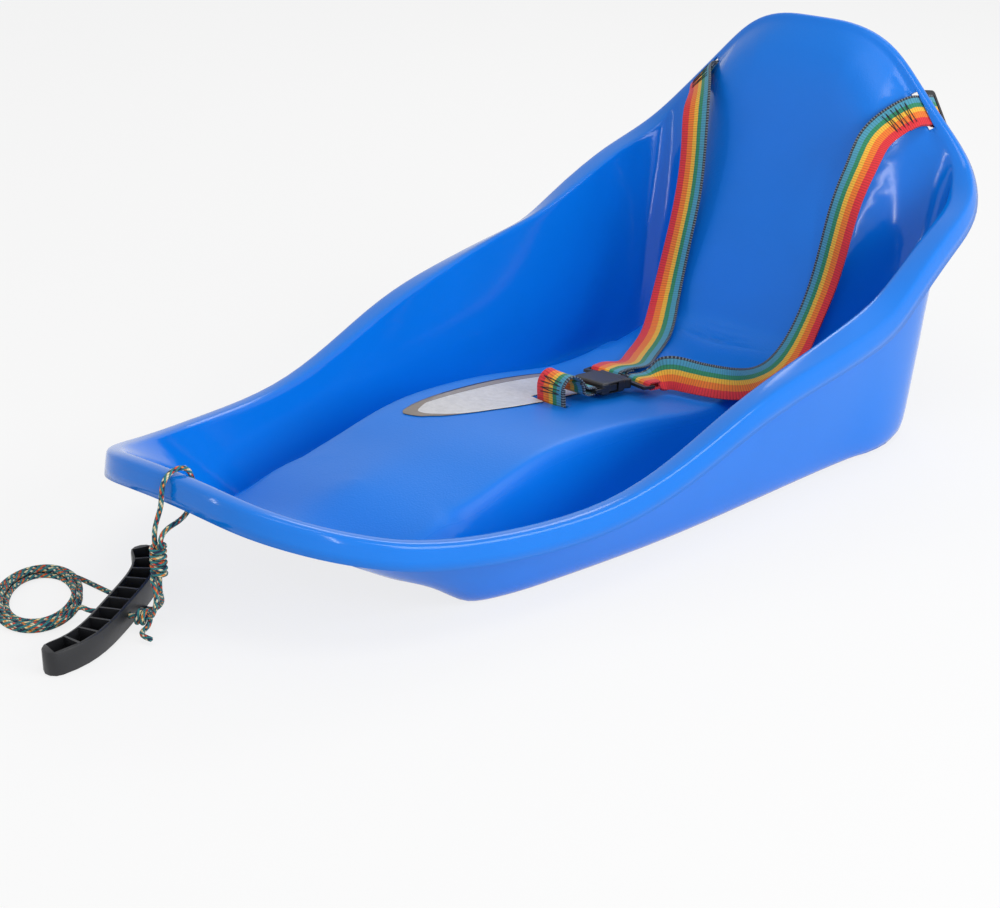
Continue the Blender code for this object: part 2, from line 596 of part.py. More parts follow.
def make_buckle(sled, cutters, material):
    """Housing on the crotch strap, yoke for both shoulder straps, two release arms."""
    frame = buckle_frame()

    def place(name, mesh):
        piece = add_object(name, mesh, sled, material, 35)
        piece.matrix_world = frame
        return piece

    def tool(name, mesh):
        item = bpy.data.objects.new(name, mesh)
        item.matrix_world = frame
        return item

    half = HOUSING_WIDTH / 2
    bar_y = -HOUSING_LENGTH - 0.0085
    outline = [(-half, -0.0006), (-half, -0.024), (-half + 0.0015, -HOUSING_LENGTH),
               (half - 0.0015, -HOUSING_LENGTH), (half, -0.024), (half, -0.0006)]
    housing = place("buckle_housing",
                    prism_mesh("buckle_housing", outline, -HOUSING_THICK / 2, HOUSING_THICK / 2))
    round_edges(housing, 0.0018, 2)
    frame_box = box_mesh("housing_bar", (HOUSING_WIDTH - 0.0006, 0.0145, GLIDE_THICK),
                         (0, bar_y - BAR + 0.0145 / 2, 0))
    cut(housing, tool("housing_bar", frame_box), cutters, "UNION")
    window = box_mesh("housing_window", (WEB_WIDTH + WEB_ROOM, 0.0057, 0.02),
                      (0, bar_y + BAR + 0.00285, 0))
    cut(housing, tool("housing_window", window), cutters)
    inner = half - HOUSING_WALL
    hollow = box_mesh("housing_hollow", (2 * inner, 0.030, HOUSING_THICK - 2 * HOUSING_WALL),
                      (0, -0.0265 + 0.015, 0))
    cut(housing, tool("housing_hollow", hollow), cutters)
    sides = box_mesh("housing_sides", (0.05, 0.0125, 0.0084), (0, -0.0155, 0))
    cut(housing, tool("housing_sides", sides), cutters)

    block = [(0.003 - half, 0.0002), (half - 0.003, 0.0002), (half - 0.0005, 0.0095),
             (0.0005 - half, 0.0095)]
    yoke = place("buckle_yoke", prism_mesh("buckle_yoke", block, -0.0045, 0.0045))
    round_edges(yoke, 0.0012, 2)
    tongue = box_mesh("yoke_tongue", (2 * (half - 0.0105), 0.0270, 0.0052), (0, -0.0105, 0))
    cut(yoke, tool("yoke_tongue", tongue), cutters, "UNION")
    for side, name in ((1, "right"), (-1, "left")):
        centre, along, _ = shoulder_bar(side)
        local = frame @ frame_of((*centre, 0), (*along, 0), (-along[1], along[0], 0))
        wing = bpy.data.objects.new(
            f"yoke_wing_{name}", box_mesh("wing", (WEB_WIDTH + WEB_ROOM + 2 * WING_WALL, 0.0128, GLIDE_THICK),
                                          (0, -0.0051, 0)))
        wing.matrix_world = local
        cut(yoke, wing, cutters, "UNION")
        gate = bpy.data.objects.new(
            f"yoke_window_{name}",
            box_mesh("gate", (WEB_WIDTH + WEB_ROOM, 0.0057, 0.02), (0, -BAR - 0.00285, 0)))
        gate.matrix_world = local
        cut(yoke, gate, cutters)

    for side, name in ((1, "right"), (-1, "left")):
        outline = [(0.0067, -0.0003), (0.0067, -0.0205), (0.0055, -0.0222), (0.0033, -0.0222),
                   (0.0006, -0.0200), (0.0006, -0.0112), (0.0037, -0.0100), (0.0037, -0.0003)]
        outline = [(side * (half - x), y) for x, y in outline]
        mesh = prism_mesh(f"release_arm_{name}", outline, -0.0031, 0.0031)
        pivot = Vector((side * (half - 0.0052), -0.0010, 0))
        mesh.transform(Matrix.Translation(-pivot))
        arm = add_object(f"release_arm_{name}", mesh, sled, material, 35)
        arm.matrix_world = frame @ Matrix.Translation(pivot)
        round_edges(arm, 0.0005, 1, 30)


def slot_route(centre, through, across, normal):
    """The strap's first places, from an adjuster's bar through its slot."""
    centre, normal = np.asarray(centre, float), unit(normal)
    through = unit(through)
    steps = [(GLIDE_REACH, WEB_TURN), (0.0135, WEB_TURN), (0.0115, WEB_TURN),
             (0.0095, WEB_TURN), (0.0072, 0.0026), (0.0050, 0.0017), (0.0026, 0.0013),
             (0.0, 0.00105), (-0.006, 0.0010)]
    return [(centre + through * reach - normal * lift, across) for reach, lift in steps]


def make_harness(sled, cutters, webbing, black):
    """Three straps with their adjusters, meeting at the buckle."""
    for side, name, route in ((1, "right", RIGHT_ROUTE), (-1, "left", LEFT_ROUTE)):
        flip = np.array([side, 1, 1])
        through = unit(np.array(SLOT_THROUGH)) * flip
        across = unit(np.array(SLOT_ALONG)) * flip
        across = unit(across - np.dot(across, through) * through)
        normal = np.cross(-through, across) * side
        start = slot_route(stretch(SLOT_CENTRE) * flip, through, across, normal)
        centre, along, toward = shoulder_bar(side)
        width = buckle_way(-side * along[0], -side * along[1])
        back = buckle_way(*toward)
        last = buckle_point(*centre, WEB_TURN)
        finish = [(last + back * reach, width) for reach in (0.012, 0.008, 0.004, 0.002, 0)]
        middle = [(stretch(point), way) for point, way in route]
        web = Web(start + middle + finish)
        make_strap(f"shoulder_strap_{name}", web, sled, webbing, (side, SLOT_TAIL),
                   (side, WEB_TAIL))
        make_glide(f"slot_adjuster_{name}", web, side, sled, cutters, black)
    across = (1, 0, 0)
    start = slot_route(stretch((0, CROTCH_SLOT_Y, 0.0630)), (0, 0, -1), across, (0, 1, 0))
    bar = buckle_point(0, -HOUSING_LENGTH - 0.0085, WEB_TURN)
    back = buckle_way(0, 1)
    finish = [(bar - back * reach, across) for reach in (0.006, 0.004, 0.002, 0)]
    middle = [(stretch(point), way) for point, way in CROTCH_ROUTE]
    web = Web(start + middle + finish)
    make_strap("crotch_strap", web, sled, webbing, (1, 0.034), (1, 0.018))
    make_glide("crotch_adjuster", web, 1, sled, cutters, black)


def make_tube(name, points, radius, resolution, sled, material):
    """Round tube along points, with closed ends."""
    curve = bpy.data.curves.new(name, "CURVE")
    curve.dimensions = "3D"
    curve.twist_mode = "MINIMUM"
    curve.bevel_depth = radius
    curve.bevel_resolution = resolution
    curve.use_fill_caps = True
    run = curve.splines.new("POLY")
    run.points.add(len(points) - 1)
    for knot, point in zip(run.points, points):
        knot.co = (*point, 1.0)
    curve.materials.append(material)
    tube = bpy.data.objects.new(name, curve)
    sled.objects.link(tube)
    return tube


def smooth_route(route, step):
    """Points at an even step on a smooth curve through hand-chosen points."""
    route = np.asarray(route, float)
    way = np.r_[0, np.cumsum(np.linalg.norm(np.diff(route, axis=0), axis=1))]
    fine = spline(way, route, np.linspace(0, way[-1], 400))
    way = np.r_[0, np.cumsum(np.linalg.norm(np.diff(fine, axis=0), axis=1))]
    count = max(2, int(round(way[-1] / step)) + 1)
    places = np.linspace(0, way[-1], count)
    return np.column_stack([np.interp(places, way, fine[:, k]) for k in range(3)])


def barrel_knot(centre, axis, start, turns, tail):
    """Wraps round an axis, one end straight and short, the other a loose tail."""
    axis = unit(axis)
    side = unit(np.cross(axis, start))
    start = np.cross(side, axis)
    steps = int(turns * 14)
    points = []
    for k in range(steps + 1):
        angle = 2 * math.pi * turns * k / steps
        height = KNOT_PITCH * turns * (0.5 - k / steps)
        points.append(np.asarray(centre) + axis * height
                      + KNOT_TURN * (start * math.cos(angle) + side * math.sin(angle)))
    points = np.array(points)
    out = unit(points[0] - points[1])
    ahead = unit(points[-1] - points[-2])
    lead_in = points[0] + out * 2 * ROPE
    route = [points[-1], points[-1] + ahead * 2.2 * ROPE] + [np.asarray(p) for p in tail]
    return np.vstack([lead_in, points[:-1], smooth_route(route, 0.0045)])


def coil_point(angle, inset, height):
    """Point of the coil's oval, drawn in by an inset."""
    heading = math.radians(COIL_HEADING)
    long_way = np.array([math.cos(heading), math.sin(heading)])
    wide_way = np.array([-math.sin(heading), math.cos(heading)])
    flat = (np.array(COIL_CENTRE) + (COIL_LONG - inset) * math.cos(angle) * long_way
            + (COIL_WIDE - inset) * math.sin(angle) * wide_way)
    return np.array([*flat, height])


def coil_points():
    """Oval loops that wind in, climb one layer and wind out again."""
    first = math.radians(COIL_START)
    turns = 2 * COIL_TURNS_IN
    count = int(round(turns * COIL_STEPS))
    points = []
    for k in range(count + 1):
        turn = turns * k / count
        inset = COIL_PITCH * (COIL_TURNS_IN - abs(turn - COIL_TURNS_IN))
        climb = np.clip((turn - COIL_TURNS_IN + 0.25) / 0.5, 0, 1)
        points.append(coil_point(first + 2 * math.pi * turn, inset,
                                 ROPE + 0.0001 + COIL_RISE * climb))
    return np.array(points)


def measure_gap(name, points, radius):
    """Print the least gap between parts of one tube that aren't neighbours."""
    way = np.r_[0, np.cumsum(np.linalg.norm(np.diff(points, axis=0), axis=1))]
    least = 1.0
    for k in range(len(points)):
        far = np.abs(way - way[k]) > 6 * radius
        if far.any():
            least = min(least, np.linalg.norm(points[far] - points[k], axis=1).min())
    print(f"{name}: length {way[-1]:.3f} m, least gap to itself {1000 * (least - 2 * radius):.2f} mm")


def grip_frame():
    """Frame of the grip: X along it, Y to its bowed side, Z up through its open top."""
    low = Vector(GRIP_LOW)
    high = Vector(GRIP_HIGH)
    along = low - high
    return frame_of((low + high) / 2, along, (-along.y, along.x, 0))


def grip_line(x):
    """Sideways place of the grip's middle line, and its slope."""
    share = 2 * x / GRIP_LENGTH
    bow = GRIP_BOW * (1 - abs(share) ** GRIP_CURL)
    slope = (-GRIP_BOW * GRIP_CURL * math.copysign(abs(share) ** (GRIP_CURL - 1), share)
             * 2 / GRIP_LENGTH)
    return bow, slope


def grip_side(x, reach):
    """Point beside the middle line."""
    bow, slope = grip_line(x)
    scale = math.hypot(1, slope)
    return x - reach * slope / scale, bow + reach / scale


def grip_width(x):
    """Half width of the grip, narrower towards its ends."""
    return GRIP_HALF * (1 - 0.12 * (2 * abs(x) / GRIP_LENGTH) ** 2)


def make_grip(sled, cutters, material):
    """Bowed open-topped tray with cross ribs and a hole for the rope."""
    count = 18
    end = GRIP_LENGTH / 2 - GRIP_HALF
    stations = [-end + 2 * end * k / count for k in range(count + 1)]
    outline = [grip_side(x, grip_width(x)) for x in stations]
    width = grip_width(end)
    for k in range(1, 6):
        angle = math.pi / 2 - math.pi * k / 6
        bow, slope = grip_line(end)
        turn = math.atan(slope) + angle
        outline.append((end + width * math.cos(turn), bow + width * math.sin(turn)))
    outline += [grip_side(x, -grip_width(x)) for x in reversed(stations)]
    for k in range(1, 6):
        angle = -math.pi / 2 - math.pi * k / 6
        bow, slope = grip_line(-end)
        turn = math.atan(slope) + angle
        outline.append((-end + width * math.cos(turn), bow + width * math.sin(turn)))
    grip = add_object("tow_grip", prism_mesh("tow_grip", outline, 0, GRIP_HEIGHT), sled,
                      material, 35)
    grip.matrix_world = grip_frame()
    round_edges(grip, 0.0012, 2)
    span = 2 * (end + 0.004)
    rib = 0.0018
    for k in range(GRIP_POCKETS):
        near = -span / 2 + span * k / GRIP_POCKETS + rib / 2
        far = -span / 2 + span * (k + 1) / GRIP_POCKETS - rib / 2
        corners = [grip_side(near, grip_width(near) - GRIP_WALL),
                   grip_side(far, grip_width(far) - GRIP_WALL),
                   grip_side(far, GRIP_WALL - grip_width(far)),
                   grip_side(near, GRIP_WALL - grip_width(near))]
        pocket = bpy.data.objects.new(
            f"grip_pocket_{k}", prism_mesh("pocket", corners, GRIP_WALL, GRIP_HEIGHT + 0.004))
        pocket.matrix_world = grip_frame()
        cut(grip, pocket, cutters)
    shell = bmesh.new()
    bmesh.ops.create_cone(shell, cap_ends=True, segments=16, radius1=GRIP_HOLE, radius2=GRIP_HOLE,
                          depth=0.04)
    bmesh.ops.rotate(shell, verts=shell.verts, cent=(0, 0, 0),
                     matrix=Matrix.Rotation(math.pi / 2, 3, "X"))
    bmesh.ops.translate(shell, verts=shell.verts, vec=(GRIP_HOLE_X, GRIP_BOW, GRIP_HEIGHT / 2))
    bore = bpy.data.meshes.new("grip_bore")
    shell.to_mesh(bore)
    shell.free()
    hole = bpy.data.objects.new("grip_bore", bore)
    hole.matrix_world = grip_frame()
    cut(grip, hole, cutters)


def grip_point(x, y, z):
    """Point of the grip's own frame in the sled's frame."""
    return np.array(grip_frame() @ Vector((x, y, z)))


def make_rope(sled, material):
    """Loop through the bow, its knot, the long coiled rope and the knot on the grip."""
    loop = smooth_route(LOOP_ROUTE, 0.0042)
    make_tube("rope_loop", loop, ROPE, 2, sled, material)
    knot = barrel_knot(LIP_KNOT, (0, 0, 1), (0.6, 0.8, 0), LIP_KNOT_TURNS, LIP_TAIL)
    measure_gap("lip_knot", knot, ROPE)
    make_tube("lip_knot", knot, ROPE, 1, sled, material)
    coil = coil_points()
    run_in, run_out = unit(coil[1] - coil[0]), unit(coil[-1] - coil[-2])
    coil = np.vstack([coil[0] - run_in * 2 * ROPE, coil, coil[-1] + run_out * 2 * ROPE])
    measure_gap("rope_coil", coil, ROPE)
    make_tube("rope_coil", coil, ROPE, 1, sled, material)
    meet = coil[0] - run_in * ROPE_GAP
    lead = smooth_route(LEAD_ROUTE + [tuple(meet - run_in * 0.007)], 0.008)
    lead = np.vstack([lead, meet])
    measure_gap("tow_rope", lead, ROPE)
    make_tube("tow_rope", lead, ROPE, 2, sled, material)
    hole_in = grip_point(GRIP_HOLE_X, GRIP_BOW - GRIP_HALF - 0.011, GRIP_HEIGHT / 2)
    hole_out = grip_point(GRIP_HOLE_X, GRIP_BOW + GRIP_HALF + 0.017, GRIP_HEIGHT / 2)
    through = unit(hole_out - hole_in)
    meet = coil[-1] + run_out * ROPE_GAP
    bend = smooth_route([tuple(meet + run_out * 0.005)] + END_ROUTE
                        + [tuple(hole_in), tuple(hole_in + through * 0.004)], 0.004)
    straight = [hole_in + through * 0.012, hole_in + through * 0.024, hole_out]
    end = np.vstack([meet, bend, straight])
    measure_gap("rope_end", end, ROPE)
    make_tube("rope_end", end, ROPE, 2, sled, material)
    axis = hole_in - hole_out
    centre = grip_point(GRIP_HOLE_X, GRIP_BOW + GRIP_HALF + 0.0105, GRIP_HEIGHT / 2)
    wrap = barrel_knot(centre, axis, (0, 0, -1), 2, GRIP_TAIL)
    measure_gap("grip_knot", wrap, ROPE)
    make_tube("grip_knot", wrap, ROPE, 1, sled, material)


def main():
    """Build the sled."""
    sled, cutters = start_scene()
    blue = make_material("moulded_blue", "0B6FD6", 0.28)
    webbing = make_material("striped_webbing", "C8452E", 0.85)
    black = make_material("black_plastic", "17181B", 0.42)
    braid = make_material("braided_rope", "1F6E72", 0.80)
    make_hull(sled, cutters, blue)
    make_harness(sled, cutters, webbing, black)
    make_buckle(sled, cutters, black)
    fixed = set(bpy.data.objects)
    make_rope(sled, braid)
    make_grip(sled, cutters, black)
    bow = np.array([0, ROPE_HOLE_Y, 0])
    ahead = (stretch(bow) - bow)[1]
    for piece in [*sled.objects, *cutters.objects]:
        piece.location.y += SHIFT_Y + (0 if piece in fixed else ahead)


main()
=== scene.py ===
"""Dresses the moulded sled, its striped harness, its braided tow rope and its black fittings.

Lengths are in metres in the sled's own frame: the bow points along -Y and +Z is up.
"""
import math
from functools import partial

import bmesh
import bpy
import numpy as np
from bpy.props import FloatProperty, FloatVectorProperty, PointerProperty
from mathutils import Matrix, Vector
from mathutils.bvhtree import BVHTree


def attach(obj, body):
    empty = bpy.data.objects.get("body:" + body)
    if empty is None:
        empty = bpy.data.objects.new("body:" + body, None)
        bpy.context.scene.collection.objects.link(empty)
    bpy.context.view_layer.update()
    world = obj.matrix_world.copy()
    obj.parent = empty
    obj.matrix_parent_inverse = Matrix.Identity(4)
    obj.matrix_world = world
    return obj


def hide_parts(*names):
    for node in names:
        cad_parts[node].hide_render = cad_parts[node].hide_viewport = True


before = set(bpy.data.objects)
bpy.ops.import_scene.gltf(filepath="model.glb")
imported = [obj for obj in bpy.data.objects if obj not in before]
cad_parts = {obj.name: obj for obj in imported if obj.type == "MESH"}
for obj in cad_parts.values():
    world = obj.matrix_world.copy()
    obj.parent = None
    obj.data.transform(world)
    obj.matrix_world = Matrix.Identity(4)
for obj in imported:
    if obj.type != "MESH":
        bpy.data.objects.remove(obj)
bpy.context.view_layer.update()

bl_info = {
    "name": "Plastic sled",
    "version": (1, 0, 0),
    "blender": (4, 5, 0),
    "location": "3D View > Sidebar > Sled",
    "description": "Moulded sled with a striped harness and a braided tow rope",
    "category": "Object",
}

BODY = "sled"             # the body that every piece made here rides on
SHIFT = np.array([0.0, -0.0036, 0.0])   # from the routes below to the frame
WELD = 1e-6               # points nearer than this are one point

# Seat of the moulding
SEAT_EDGE = 0.086         # half width of the raised seat
SEAT_EDGE_PLAY = 0.003    # how far from that line its edges may lie
SEAT_FRONT = -0.290
SEAT_REAR = 0.170
SEAT_ROUND = 0.0045       # rounding of the seat's edges
SEAT_CORNER = 25          # sharpest bend of the seat that stays unrounded, degrees
HARD_CORNER = 50          # sharpest bend of the sheet that stays uncreased, degrees
CREASE = 0.6
FLAT_JOIN = (35, 50)      # bend and skew up to which two triangles become one face, degrees
DIMPLE = (0.2364, 0.028, 0.045)   # place along the sled, reach and least height of the dimple
DIMPLE_PASSES = 10
GRAIN_SIDE = (0.094, 0.086)       # the grain fades in between these distances from the middle
GRAIN_FRONT = (-0.325, -0.305)    # and between these places along the sled

# Webbing of the harness
WEB_WIDTH = 0.030
WEB = 0.0014
WEB_TURN = 0.0030         # radius of the webbing's turn round a bar
TURN_STEPS = 10           # steps of that half turn
WEB_STEP = 0.002          # distance between the cross lines of a strap's mesh
WEB_SELVEDGE = 0.0004     # rounding of its edges
WEB_TAIL = 0.024          # length of each sewn tail at the buckle
SLOT_TAIL = 0.040         # length of each sewn tail at a slot
CROTCH_TAILS = (0.034, 0.018)     # the same for the crotch strap, at its slot and its buckle
TAIL_GAP = 0.0007         # air between a tail and the strap that it is sewn to
TAIL_DROP = (0.0088, 0.0047)      # where a tail starts to lie down, and how soon it lies flat
SHOULDER_SEAMS = [(0.030, 0.036, 3), (0.039, 0.045, 3), (0.048, 0.054, 3)]  # start, end, stitches
CROTCH_SEAMS = [(0.026, 0.032, 3), (0.034, 0.040, 3)]
SEAM_REACH = 0.36         # half width of a zigzag, as a share of the strap's width
SLOT_CENTRE = (0.1234, 0.3825, 0.2789)
SLOT_ALONG = (-0.022, 0.006, 0.028)
SLOT_THROUGH = (0.20, 0.97, -0.15)
CROTCH_SLOT = (0.0, 0.013, 0.063)
# A strap's way out of a slot: distance behind the slot's middle, height over its middle plane
SLOT_STEPS = [
    (0.0155, WEB_TURN), (0.0135, WEB_TURN), (0.0115, WEB_TURN), (0.0095, WEB_TURN),
    (0.0072, 0.0026), (0.0050, 0.0017), (0.0026, 0.0013), (0.0, 0.00105), (-0.006, 0.0010),
]
BUCKLE = (0.006, 0.084, 0.0675)
BUCKLE_TILT = -6          # degrees
BUCKLE_BAR = 0.0385       # from the buckle's middle to the crotch strap's bar
YOKE_SPREAD = 0.0190      # from the buckle's middle to each shoulder strap's bar
YOKE_BAR = 0.0195         # from the buckle's middle to the line of those bars
YOKE_ANGLE = 10           # degrees
YOKE_REACHES = (0.012, 0.008, 0.004, 0.002, 0)    # straight webbing before a bar
HOUSING_REACHES = (0.006, 0.004, 0.002, 0)

# Rope and its grip
ROPE = 0.0019             # radius of the rope
ROPE_SIDES = 16
ROPE_STEP = 0.0014        # distance between the rings of the rope's mesh
ROUTE_STEP = 0.0030       # distance between the points of its routes
LOOP_STEP = 0.0020        # the same for the small loop in the bow
TAIL_STEP = 0.0025        # and for the tails of the knots
KNOT_TURN = 0.0046        # radius of the wraps of a barrel knot
KNOT_PITCH = 0.0044
KNOT_STEPS = 28           # points on each wrap
LIP_KNOT = (0.0, -0.4135, 0.0605)
LIP_KNOT_TURNS = 5.5
GRIP_KNOT_TURNS = 2
GRIP_KNOT_OFF = 0.0105    # from the grip's side to the middle of the knot on it
GRIP_BOW = 0.024          # how far the middle of the grip bows out
GRIP_HALF = 0.0105        # half width
GRIP_HEIGHT = 0.019
GRIP_HOLE_X = 0.0067      # from the grip's middle to the hole for the rope
GRIP_LEAD = (0.011, 0.017)        # straight rope before and behind that hole
GRIP_REACHES = (0.004, 0.012, 0.024)      # points of that straight rope, from its start
GRIP_CORNER = 28          # bend of the grip's faces that stays an edge, degrees
GRIP_LOW = (-0.0177, -0.5086, 0.0003)
GRIP_HIGH = (-0.0994, -0.3586, 0.0064)
COIL_CENTRE = (-0.112, -0.441)
COIL_LONG = 0.053
COIL_WIDE = 0.034
COIL_HEADING = 140        # degrees
COIL_START = -37.4        # degrees
COIL_TURNS_IN = 2.3353
COIL_PITCH = 0.0045       # from one loop to the next beside it
COIL_RISE = 0.0043        # from the lower layer to the upper one
COIL_CLIMB = 0.5          # turns that the climb between them takes
COIL_STEPS = 48           # points on each loop
COIL_LEAD = (0.007, 0.005)        # straight rope before and after the coil
ROPE_GAP = 0.0003

# Route of the loop: up the front of the bow, over the rim, through the hole, back to the knot
LOOP_ROUTE = [
    (-0.0028, -0.4135, 0.0692), (-0.0031, -0.4135, 0.0800), (-0.0025, -0.4115, 0.0900),
    (-0.0012, -0.4081, 0.1010), (0.0, -0.4073, 0.1125), (0.0, -0.4036, 0.1213),
    (0.0, -0.3945, 0.1257), (0.0, -0.3846, 0.1235), (0.0, -0.3796, 0.1150),
    (0.0, -0.3796, 0.1030), (0.0007, -0.3848, 0.0915), (0.0018, -0.3965, 0.0860),
    (0.0027, -0.4045, 0.0848), (0.0031, -0.4112, 0.0812), (0.0028, -0.4135, 0.0692),
]
LIP_TAIL = [(0.0082, -0.4238, 0.0430), (0.0072, -0.4240, 0.0310), (-0.0010, -0.4215, 0.0190)]
# From inside the knot down to the ground and under the grip to the coil
LEAD_ROUTE = [
    (0.0, -0.4135, 0.0736), (0.0, -0.4135, 0.0600), (0.0, -0.4135, 0.0470),
    (-0.003, -0.4115, 0.0370), (-0.009, -0.4060, 0.0265), (-0.018, -0.3995, 0.0165),
    (-0.029, -0.3965, 0.0071), (-0.041, -0.3955, 0.0025), (-0.056, -0.3960, 0.0020),
    (-0.085, -0.3968, 0.0020), (-0.110, -0.3970, 0.0020),
]
END_ROUTE = [(-0.0647, -0.4455, 0.0105), (-0.0627, -0.4402, 0.0125)]
GRIP_TAIL = [(-0.0060, -0.4275, 0.0062), (0.0060, -0.4270, 0.0045)]

# Bare plate on the seat, seen from above: place along the sled, its left and its right edge
PLATE = [
    (-0.1120, -0.0580, -0.0555), (-0.1095, -0.0612, -0.0450), (-0.1050, -0.0632, -0.0378),
    (-0.0980, -0.0645, -0.0295), (-0.0880, -0.0652, -0.0222), (-0.0740, -0.0656, -0.0150),
    (-0.0560, -0.0660, -0.0096), (-0.0370, -0.0664, -0.0058), (-0.0080, -0.0670, -0.0037),
    (0.0200, -0.0672, -0.0030), (0.0450, -0.0668, -0.0034), (0.0640, -0.0658, -0.0050),
    (0.0740, -0.0640, -0.0080), (0.0800, -0.0612, -0.0118), (0.0840, -0.0570, -0.0165),
]
PLATE_LIFT = 0.0008       # height of the plate's face over the moulding
PLATE_FILM = 0.0002
PLATE_CELLS = (24, 140)   # squares of its mesh, across and along
PLATE_NOTCH = (0.0050, 0.0140, -0.0198)   # start, end and right edge beside the crotch slot

# Harness: points of each strap, then the way across it
RIGHT_ROUTE = [
    ((0.1100, 0.3560, 0.2710), (-0.70, 0.10, 0.70)),
    ((0.1030, 0.3380, 0.2580), (-0.80, 0.10, 0.60)),
    ((0.1045, 0.3180, 0.2400), (-0.90, 0.10, 0.42)),
    ((0.1030, 0.3010, 0.2140), (-0.98, 0.00, 0.18)),
    ((0.0960, 0.2920, 0.1680), (-1.00, 0.00, 0.00)),
    ((0.0890, 0.2880, 0.1300), (-1.00, 0.05, 0.00)),
    ((0.0850, 0.2700, 0.0920), (-1.00, 0.10, 0.00)),
    ((0.0880, 0.2400, 0.0690), (-0.98, 0.00, 0.15)),
    ((0.0950, 0.1900, 0.0630), (-0.85, 0.10, 0.45)),
    ((0.0900, 0.1520, 0.0670), (-0.38, 0.55, 0.74)),
    ((0.0720, 0.1370, 0.0700), (-0.08, 0.62, 0.78)),
    ((0.0530, 0.1330, 0.0705), (-0.14, 0.48, 0.86)),
    ((0.0380, 0.1250, 0.0715), (-0.65, 0.05, 0.72)),
]
LEFT_ROUTE = [
    ((-0.1060, 0.3480, 0.2760), (0.75, 0.10, 0.65)),
    ((-0.0930, 0.3270, 0.2600), (0.92, 0.10, 0.35)),
    ((-0.0850, 0.3140, 0.2260), (1.00, 0.00, 0.05)),
    ((-0.0810, 0.3030, 0.1820), (1.00, 0.00, 0.00)),
    ((-0.0790, 0.2890, 0.1430), (1.00, 0.00, 0.00)),
    ((-0.0780, 0.2740, 0.1020), (1.00, 0.10, 0.00)),
    ((-0.0700, 0.2540, 0.0760), (0.97, 0.20, 0.00)),
    ((-0.0540, 0.2240, 0.0625), (0.94, 0.32, 0.00)),
    ((-0.0330, 0.1750, 0.0570), (0.94, 0.33, 0.00)),
    ((-0.0150, 0.1330, 0.0640), (0.96, 0.25, 0.00)),
]
CROTCH_ROUTE = [
    ((0.0000, 0.0116, 0.0740), (1.00, 0.00, 0.00)),
    ((0.0005, 0.0130, 0.0835), (1.00, 0.00, 0.00)),
    ((0.0030, 0.0210, 0.0895), (1.00, 0.00, 0.00)),
    ((0.0055, 0.0300, 0.0850), (1.00, 0.00, 0.00)),
]

# Dye and surface of the moulding
DYE_CLOUD = 0.08
DYE_DRIFT = 0.06          # share by which the dye is lighter or darker
RIPPLE = 0.035            # length of the sheet's slow ripples

# Stripes of the webbing from its first edge: share of the width, sRGB colour
STRIPES = [
    (0.00, "E02A34"), (0.25, "F27A24"), (0.45, "F3B838"), (0.60, "24845C"),
    (0.745, "4596B0"), (0.915, "171B28"),
]
WARP_ENDS = 24
WARP_DRIFT = 0.022        # share of the width
WARP_RIB = 0.35           # height of the warp's ribs, as a share of the weft's
SELVEDGE_START = 0.935    # share of the width
WEFT = "9DB2BC"
WEFT_SHOWS = (0.80, 0.45)         # height from which it shows there, and how strongly

# Colours of the six strands that turn each way round the rope, sRGB, None for the main one
STRANDS_LEFT = [None, "F2DFA6", None, "D8442C", None, "1A2748"]
STRANDS_RIGHT = ["EA8A34", None, "1A2748", None, "F2E6C4", None]

# Lengths of the fine patterns; the real 0.2 mm spark grain is drawn wider, so that it shows
SPARK_GRAIN = 0.0007
WEAR = 0.012
THREAD_TWIST = 0.0008
SCUFF = 0.006

# Print on the plate: bands from its left edge, and the band across its bow end
PRINT = [
    (0.000, "20222A"), (0.030, "978D84"), (0.140, "4E4B4A"), (0.152, "D9D8DA"),
    (0.984, "2A2E38"),
]
PRINT_BOW = "85796E"
NOSE = (0.56, 0.0100, 0.26)       # middle, start and curve of the white field's bow end

# Lamps: name, place, size, share of the key lamp's power
LAMPS = [
    ("side_lamp", (2.0, 0.3, 0.9), (1.4, 1.0), 1.0),
    ("top_lamp", (0.7, -0.6, 2.0), (1.2, 0.8), 0.42),
    ("back_lamp", (-0.5, 1.7, 1.6), (1.4, 0.5), 0.36),
    ("right_strip", (1.6, -1.15, 0.5), (0.05, 0.9), 0.16),
    ("left_strip", (-0.8, -1.7, 0.5), (0.05, 0.9), 0.13),
]
LAMP_AIM = (0, 0.05, 0.12)
FLOOR_HALF = 6
FLOOR_DROP = 0.0003       # the floor lies this far under the runners
FLOOR_GREY = (0.82, 0.82, 0.82, 1)
FLOOR_GLOW = 0.8          # share of plain white in the floor where it is looked at directly
PURE_WHITE = (1, 1, 1, 1)

# Camera at the photograph's angle
CAMERA_TARGET = (0.0, -0.0236, 0.12)
CAMERA_DISTANCE = 1.772
CAMERA_ANGLES = (41.96, 19.27, 0.37)      # round the sled, above it and roll, degrees
CAMERA_LENS = 75.9        # millimetres, on a sensor 36 mm wide
CAMERA_SHIFT = (-0.026, -0.103)


def srgb(text):
    """Linear red, green and blue of an sRGB hex colour."""
    parts = [int(text[k:k + 2], 16) / 255 for k in (0, 2, 4)]
    return tuple(p / 12.92 if p <= 0.04045 else ((p + 0.055) / 1.055) ** 2.4 for p in parts)


